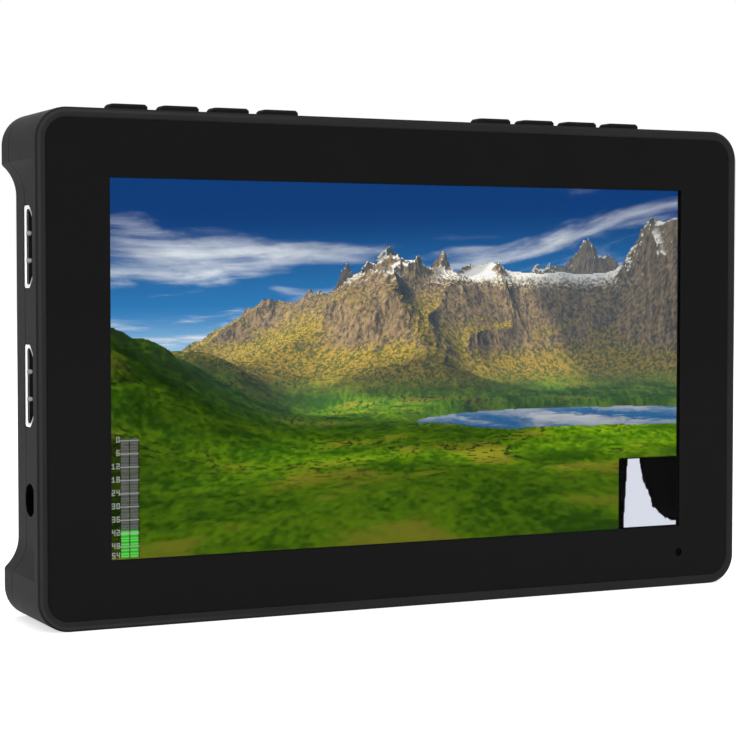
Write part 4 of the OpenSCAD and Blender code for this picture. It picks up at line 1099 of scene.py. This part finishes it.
def seenGround(u, v, table):
    # how far the ground is that each point of the picture shows, or nothing where it shows the sky
    far = 1.9 * 1.0056 ** np.arange(640)
    x = far[:, None] * ((u - 0.5) * picture["spread"])[None, :]
    y = np.repeat(far[:, None], len(u), 1)
    rise = (np.maximum(groundHeight(x, y, table), picture["waterLevel"]) - picture["eyeHeight"]) / y
    aspect = picture["spread"] * picture["rows"] / picture["columns"]
    skyline = np.maximum.accumulate(rise / aspect + picture["horizon"], 0)
    distance = np.zeros((len(v), len(u)))
    land = np.zeros((len(v), len(u)), bool)
    for column in range(len(u)):
        line = skyline[:, column]
        hit = np.searchsorted(line, v)
        land[:, column] = hit < len(far)
        hit = np.clip(hit, 1, len(far) - 1)
        share = np.clip((v - line[hit - 1]) / np.maximum(line[hit] - line[hit - 1], 1e-9), 0, 1)
        distance[:, column] = far[hit - 1] + (far[hit] - far[hit - 1]) * share
    return distance, land


def soilTones(x, y, height, steep, distance, table):
    grain = layered(x * 5.5, y * 5.5, table, 5, 0.6)
    nearness = 1 + 0.12 * distance
    fine = layered(x * 19 / nearness, y * 19 / nearness, table, 4, 0.65)
    patch = layered(x * 0.55 + 5, y * 0.55, table, 5, 0.55)
    grass = blendTones(*landLook["grass"], step(0.32, 0.70, patch * 0.55 + fine * 0.45))
    grass = blendTones(grass, landLook["straw"], step(0.60, 0.74, patch) * 0.45)
    moss = blendTones(*landLook["moss"], step(0.3, 0.7, grain))
    rock = blendTones(*landLook["rock"], step(0.25, 0.8, grain * 0.7 + fine * 0.3))
    tones = blendTones(grass, moss, step(0.7, 2.6, height) * step(24, 32, y))
    rocky = step(0.20, 0.44, steep) * (0.30 + step(1.6, 5.5, height))
    rocky = rocky + step(6.0, 11.0, height) * 0.85
    tones = blendTones(tones, rock, np.clip(rocky, 0, 1))
    snow = step(11.5, 13.5, height + 2.6 * grain) * step(0.50, 0.30, steep)
    tones = blendTones(tones, landLook["snow"], snow)
    wood = step(0.56, 0.66, layered(x * 6.1, y * 6.1 + height * 2, table, 3, 0.7))
    wood *= step(0.44, 0.60, patch)
    wood *= step(6, 12, y) * step(46, 28, y) * step(-0.05, 0.25, height) * (1 - snow)
    return blendTones(tones, landLook["wood"], wood * 0.85)


def middles(count):
    # middles of the picture points along one side, as shares of it
    return (np.arange(count) + 0.5) / count


def drawValley():
    table = np.random.RandomState(picture["seed"]).rand(256, 256)
    u, v = middles(picture["columns"]), middles(picture["rows"])
    across, up = np.meshgrid(u, v)
    distance, land = seenGround(u, v, table)
    x = distance * (across - 0.5) * picture["spread"]
    y = distance
    reach = 0.0016 * distance + 0.004
    height = groundHeight(x, y, table)
    normal = np.stack([
        (height - groundHeight(x + reach, y, table)) / reach,
        (height - groundHeight(x, y + reach, table)) / reach,
        np.ones_like(height),
    ], -1)
    normal /= np.linalg.norm(normal, axis=-1, keepdims=True)
    sun = np.array(picture["sun"])
    sun = sun / np.linalg.norm(sun)
    # shadows that the ground casts on itself
    lit = np.clip(normal @ sun, 0, 1)
    for i in range(1, 14):
        t = 0.006 * distance * 1.5 ** i
        over = groundHeight(x + sun[0] * t, y + sun[1] * t, table, 5) - (height + sun[2] * t)
        lit = lit * (1 - picture["shadow"] * step(-0.02, 0.5, over / (0.03 * distance + 0.2)))
    # shadows of clouds drift over the land
    drift = layered(x * 0.045 + 31, y * 0.07 + 3, table, 4)
    lit = lit * (1 - picture["cloudShadow"] * step(0.50, 0.62, drift))
    soil = soilTones(x, y, height, 1 - normal[..., 2], distance, table)
    light = lit[..., None] * np.array(picture["sunlight"])
    light = light + (0.22 + 0.26 * normal[..., 2])[..., None] * np.array(picture["skylight"])
    tones = soil * light
    # water mirrors the sky
    near = 0.5 + 0.05 * y
    ripple = layered(x * 2.2 / near, y * 9 / near, table, 4, 0.6) - 0.5
    mirrorUp = np.clip(2 * picture["horizon"] - up + 0.10 + 0.02 * ripple, 0, 1)
    water = skyTones(across, mirrorUp, table) * (0.55 + 0.3 * ripple)[..., None]
    tones = blendTones(tones, water, (height < picture["waterLevel"]).astype(float))
    beyond = np.maximum(distance - picture["fogFrom"], 0)
    fog = 1 - np.exp(-beyond * picture["fogGrowth"])
    tones = blendTones(tones, picture["fog"], fog * picture["fogShare"])
    return np.clip(np.where(land[..., None], tones, skyTones(across, up, table)), 0, 1)


# Level meter at the lower left and histogram at the lower right, in mm from the screen's centre
overlays = {
    "meter": (-60.70, -34.10, -55.30, -12.60),    # left, low, right, high
    "columns": ((-58.62, -57.24), (-56.86, -55.47)),
    "scaleStep": 2.39,                            # between two lines of the scale
    "figures": (0, 6, 12, 18, 24, 30, 36, 42, 48, 54),
    "level": -29.0,                               # top of the green stretch
    "finePitch": 60,                              # fine lines in the meter's height
    "histogram": (47.05, -34.24, 60.88, -19.90),
    "rise": (1.1, 2.1),                           # from the histogram's left side
    "fall": (4.7, 2.7),                           # where it starts and how long it is
    "lineTone": 0.125,       # of the grey stretch's lines
    "figureTone": (0.27, 0.29, 0.25),
    "greenTone": (0.030, 0.42, 0.022),
    "greenLineTone": (0.16, 0.62, 0.14),
    "histogramTone": (0.71, 0.74, 0.83),
    "histogramBack": (0.0008, 0.0008, 0.0008),
}
dotFigures = {
    0: (7, 5, 5, 5, 7), 1: (2, 6, 2, 2, 7), 2: (7, 1, 7, 4, 7), 3: (7, 1, 7, 1, 7), 4: (5, 5, 7, 1, 1),
    5: (7, 4, 7, 1, 7), 6: (7, 4, 7, 5, 7), 8: (7, 5, 7, 5, 7),
}


def within(x, z, left, low, right, high):
    return (x > left) & (x < right) & (z > low) & (z < high)


def drawFigure(tones, number, left, middle):
    # plain figures of 3 x 5 dots, one picture point to a dot
    column = left
    for figure in (int(mark) for mark in str(number)):
        for row, dots in enumerate(dotFigures[figure]):
            for i in range(3):
                if dots >> (2 - i) & 1:
                    tones[middle + 2 - row, column + i] = overlays["figureTone"]
        column += 4


def drawMeter(tones, x, z):
    left, low, right, high = overlays["meter"]
    behind = within(x, z, left, low, right, high)
    tones[behind] = tones[behind] * 0.35
    lines = (z - low) / (high - low) * overlays["finePitch"] % 1 < 0.35
    for start, end in overlays["columns"]:
        column = within(x, z, start, low, end, high)
        tones[column] = tones[column] * 0.55 + 0.072
        tones[column & lines] = overlays["lineTone"]
        green = column & (z < overlays["level"])
        tones[green] = overlays["greenTone"]
        tones[green & lines] = overlays["greenLineTone"]
    perMm = picture["columns"] / (litWide / mm)
    for i, figure in enumerate(overlays["figures"]):
        level = high - 0.15 - i * overlays["scaleStep"]
        mark = within(x, z, overlays["columns"][0][0] - 0.3, level - 0.11, right, level + 0.11)
        tones[mark] = tones[mark] * 0.4 + 0.25
        row = int(round((level + litHigh / mm / 2) * perMm))
        drawFigure(tones, figure, 2 if figure > 9 else 6, max(row, 3))


def drawHistogram(tones, x, z):
    left, low, right, high = overlays["histogram"]
    tones[within(x, z, left, low, right, high)] = overlays["histogramBack"]
    table = np.random.RandomState(picture["seed"] + 1).rand(256, 256)
    inside = x - left
    start, end = overlays["rise"]
    begin, length = overlays["fall"]
    jag = smoothNoise(inside * 1.7, inside * 0, table) - 0.45
    jag = jag + 0.6 * (smoothNoise(inside * 4.3, inside * 0 + 7, table) - 0.5)
    most = high - low - 0.25
    tall = most * np.clip((inside - start) / (end - start), 0, 1)
    slope = (high - low) * np.exp(-np.maximum(inside - begin, 0) / length)
    slope = slope + np.minimum(slope * 0.30, 1.5) * jag + 0.4
    top = np.where(inside < begin, tall, np.minimum(slope, most))
    shape = within(x, z, left + start, low, right, high)
    shape = shape & (z - low - 0.12 < top) & (z - low > 0.12)
    tones[shape] = overlays["histogramTone"]


def screenPictureFinish():
    finish = Finish("litPicture")
    grain = finish.noise(finish.place(), 0.25 * mm, 2, 0.6)
    drawn = finish.node("VertexColor", {"layer_name": "tone"})
    skin = finish.surface(
        Base_Color=picture["behind"],
        Roughness=0.4 + 0.1 * grain,
        Specular_IOR_Level=0.0,
        Emission_Color=(grain * 0.10).tint(drawn, (0.0, 0.0, 0.0)),
        Emission_Strength=picture["glow"],
    )
    return finish.close(skin)


def makeScreenPicture():
    columns, rows = picture["columns"], picture["rows"]
    tones = drawValley()
    x, z = np.meshgrid((middles(columns) - 0.5) * litWide / mm, (middles(rows) - 0.5) * litHigh / mm)
    drawMeter(tones, x, z)
    drawHistogram(tones, x, z)
    # one face for each picture point, each face in its own tone
    edgeX = np.linspace(-litWide / 2, litWide / 2, columns + 1)
    edgeZ = np.linspace(middleZ - litHigh / 2, middleZ + litHigh / 2, rows + 1)
    points = np.zeros((rows + 1, columns + 1, 3))
    points[..., 0] = edgeX[None, :]
    points[..., 1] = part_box("lcd_panel")[0][1] - picture["ahead"] * mm
    points[..., 2] = edgeZ[:, None]
    corner = (np.arange(rows)[:, None] * (columns + 1) + np.arange(columns)[None, :]).ravel()
    faces = np.stack([corner, corner + 1, corner + columns + 2, corner + columns + 1], -1)
    mesh = bpy.data.meshes.new("screenPicture")
    mesh.vertices.add(points.size // 3)
    mesh.vertices.foreach_set("co", points.ravel())
    mesh.loops.add(faces.size)
    mesh.loops.foreach_set("vertex_index", faces.ravel())
    mesh.polygons.add(len(faces))
    mesh.polygons.foreach_set("loop_start", np.arange(0, faces.size, 4))
    mesh.update()
    mesh.validate()
    layer = mesh.color_attributes.new("tone", "FLOAT_COLOR", "CORNER")
    flat = np.ones((len(faces), 4))
    flat[:, :3] = tones.reshape(-1, 3)
    layer.data.foreach_set("color", np.repeat(flat, 4, axis=0).ravel())
    addMesh("screenPicture", mesh, screenPictureFinish())


makeScreenPicture()
print("picture drawn")


# Contacts lie on both faces of a socket's tongue; lengths in mm
videoContacts = {
    "tongueDown": 1.4,            # from the mouth to the tongue's tip
    "faces": (1.85, 3.25),        # of the tongue, from the board
    "counts": (10, 9),
    "pitch": 1.0,
    "wide": 0.50,
    "long": 7.0,
    "proud": 0.07,
}
dataContacts = {
    "tongueDown": 0.8,
    "faces": (1.25, 1.95),
    "counts": (12, 12),
    "pitch": 0.5,
    "wide": 0.27,
    "long": 4.2,
    "proud": 0.05,
}
contactSeat = {"back": 0.25, "sunk": 0.05}     # mm behind the tongue's tip, and into its face


def contactRows(name, shellNode, look, inward):
    # inward is +1 where the socket opens to the left and -1 where it opens to the right
    low, high, middle = boxOf(shellNode)
    mouth = low[0] if inward > 0 else high[0]
    tip = mouth + inward * (look["tongueDown"] + contactSeat["back"]) * mm
    root = tip + inward * look["long"] * mm
    half = look["wide"] / 2 * mm
    shapes = []
    for face, count, side in zip(look["faces"], look["counts"], (-1, 1)):
        level = low[1] + face * mm
        y = sorted((level - side * contactSeat["sunk"] * mm, level + side * look["proud"] * mm))
        for i in range(count):
            z = middle[2] + (i - (count - 1) / 2) * look["pitch"] * mm
            shapes.append(bar(root, tip, y, (z - half, z + half), look["proud"] * 0.8 * mm))
    addPiece(name, joined(shapes), metals["contactGold"])


# Flared lip inside the mouth of each video socket, in mm; the corners are those of its shell
videoLip = {"sheet": 0.45, "deep": 0.22, "inward": 0.20, "end": 0.34}
videoCorners = {"long": 7.525, "narrow": 5.6, "slope": 2.4, "corner": 0.45, "short": 5.5}


def socketOutline(inset):
    # corners of a video socket's section: front to back, and up
    long, narrow = videoCorners["long"] - inset, videoCorners["narrow"] - inset
    high, corner, slope = videoCorners["short"] - inset, videoCorners["corner"], videoCorners["slope"]
    half = [(inset, narrow), (slope, long), (high - corner, long), (high, long - corner)]
    return half + [(y, -z) for y, z in reversed(half)]


def makeVideoLip(name, shellNode):
    low, _, middle = boxOf(shellNode)
    sheet, inner = videoLip["sheet"] - 0.02, videoLip["sheet"] + videoLip["inward"]
    deep, end = videoLip["deep"], videoLip["end"]
    rings = []
    for down, inset in ((0.01, sheet), (deep, inner), (end, inner), (end, sheet)):
        outline = socketOutline(inset)
        rings.append([(low[0] + down * mm, low[1] + y * mm, middle[2] + z * mm) for y, z in outline])
    addPiece(name, skinned(rings, closed=True), metals["lipPlating"])


# Sleeve in the headphone bore and, in the power socket, the leaf that presses on the plug, in mm
phoneSleeve = {"bore": 1.8, "fromBoard": 2.6, "down": 2.60, "long": 1.1, "thick": 0.16, "sunk": 0.02}
powerLeaf = {
    "bore": 2.85,
    "wide": 2.2,
    "thick": 0.22,
    "from": 1.6,             # behind the mouth
    "to": 9.2,
    "clear": 0.36,           # from the bore's wall to its ends
    "bulge": 0.55,
    "steps": 14,
}


def makePhoneSleeve():
    low, _, middle = boxOf("headphone_jack")
    axis = (0, low[1] + phoneSleeve["fromBoard"] * mm, middle[2])
    bore, thick = phoneSleeve["bore"] * mm, phoneSleeve["thick"] * mm
    outer, inner, rounding = bore + phoneSleeve["sunk"] * mm, bore - thick, thick * 0.4
    start = low[0] + phoneSleeve["down"] * mm
    end = start + phoneSleeve["long"] * mm
    profile = [
        (start, outer), (start, inner + rounding), (start + rounding, inner),
        (end - rounding, inner), (end, inner + rounding), (end, outer),
    ]
    ring = lathe(axis, profile, 0)
    addPiece("phoneSleeve", ring, metals["contactNickel"], smooth=True)


def makePowerLeaf():
    high, middle = boxOf("dc_jack")[1:]
    half, thick = powerLeaf["wide"] / 2 * mm, powerLeaf["thick"] * mm
    rings = []
    for i in range(powerLeaf["steps"] + 1):
        share = i / powerLeaf["steps"]
        down = powerLeaf["from"] + (powerLeaf["to"] - powerLeaf["from"]) * share
        x = high[0] - down * mm
        drop = powerLeaf["bulge"] * mm * math.sin(math.pi * share) ** 2 + powerLeaf["clear"] * mm
        level = middle[2] + powerLeaf["bore"] * mm - drop
        corners = ((-half, 0), (half, 0), (half, thick), (-half, thick))
        rings.append([(x, middle[1] + y, level + z) for y, z in corners])
    addPiece("powerLeaf", skinned(rings), metals["contactNickel"])


contactRows("videoInputContacts", "hdmi_input_shell", videoContacts, 1)
contactRows("videoOutputContacts", "hdmi_output_shell", videoContacts, 1)
contactRows("dataContacts", "usb_port_shell", dataContacts, -1)
makeVideoLip("videoInputLip", "hdmi_input_shell")
makeVideoLip("videoOutputLip", "hdmi_output_shell")
makePhoneSleeve()
makePowerLeaf()
print("contacts made")


# Thread inside the tripod insert, in mm
thread = {
    "bore": 3.175,
    "root": 2.55,        # inner radius at the crests
    "pitch": 1.27,
    "long": 6.4,
    "start": 0.35,       # from the underside
    "flat": 0.16,        # width of a crest
    "foot": 0.44,        # half width at the bore, as a share of the pitch
    "sunk": 0.02,        # into the bore's wall
    "fade": 0.35,        # turns over which each end runs out
    "sides": 48,         # points in one turn
}


def makeThread():
    low, _, middle = boxOf("tripod_insert")
    turns = (thread["long"] - thread["pitch"]) / thread["pitch"]
    count = int(turns * thread["sides"])
    foot, crest, bore = thread["pitch"] * thread["foot"], thread["flat"] / 2, thread["bore"]
    rings = []
    for i in range(count + 1):
        turn = i / thread["sides"]
        grown = max(min(1, turn / thread["fade"], (turns - turn) / thread["fade"]), 0.02)
        inner = bore - (bore - thread["root"]) * (grown if 0 < i < count else 0.02)
        outer = bore + thread["sunk"]
        level = thread["start"] + foot + turn * thread["pitch"]
        angle = math.tau * turn
        rings.append([(
            middle[0] + radius * math.cos(angle) * mm,
            middle[1] + radius * math.sin(angle) * mm,
            low[2] + (level + rise) * mm,
        ) for radius, rise in ((outer, -foot), (inner, -crest), (inner, crest), (outer, foot))])
    addPiece("tripodThread", skinned(rings), metals["insertBrass"], smooth=True)


makeThread()
print("tripod thread made")


# Release spring, in mm: its end turns lie close
coil = {
    "wire": 0.5,
    "turns": 7,
    "close": 1.15,       # rise of an end turn, as a share of the wire
    "travel": 2.4,
    "spare": 0.1,        # that it shortens beyond the button's travel
    "rings": 36,         # in one turn
    "sides": 10,
}


def makeCoil():
    low, high, middle = boxOf("release_spring")
    wire = coil["wire"] * mm
    radius = (high[0] - low[0]) / 2 - wire / 2
    turns, close = coil["turns"], coil["close"] * wire
    openRise = (high[1] - low[1] - wire - 2 * close) / (turns - 2)
    rings = []
    for i in range(turns * coil["rings"] + 1):
        turn = i / coil["rings"]
        closed = min(turn, 1) + max(turn - turns + 1, 0)
        rise = close * closed + openRise * min(max(turn - 1, 0), turns - 2)
        angle = math.tau * turn
        ring = []
        for k in range(coil["sides"]):
            around = math.tau * k / coil["sides"]
            reach = radius + wire / 2 * math.cos(around)
            ring.append((
                middle[0] + reach * math.cos(angle),
                low[1] + wire / 2 * (1 + math.sin(around)) + rise,
                middle[2] + reach * math.sin(angle),
            ))
        rings.append(ring)
    piece = addPiece("releaseCoil", skinned(rings), metals["springSteel"], smooth=True)
    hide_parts("release_spring")
    length = high[1] - low[1]
    keep = (length - (coil["travel"] + coil["spare"]) * mm) / length
    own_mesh(piece)


makeCoil()
print("release spring made")
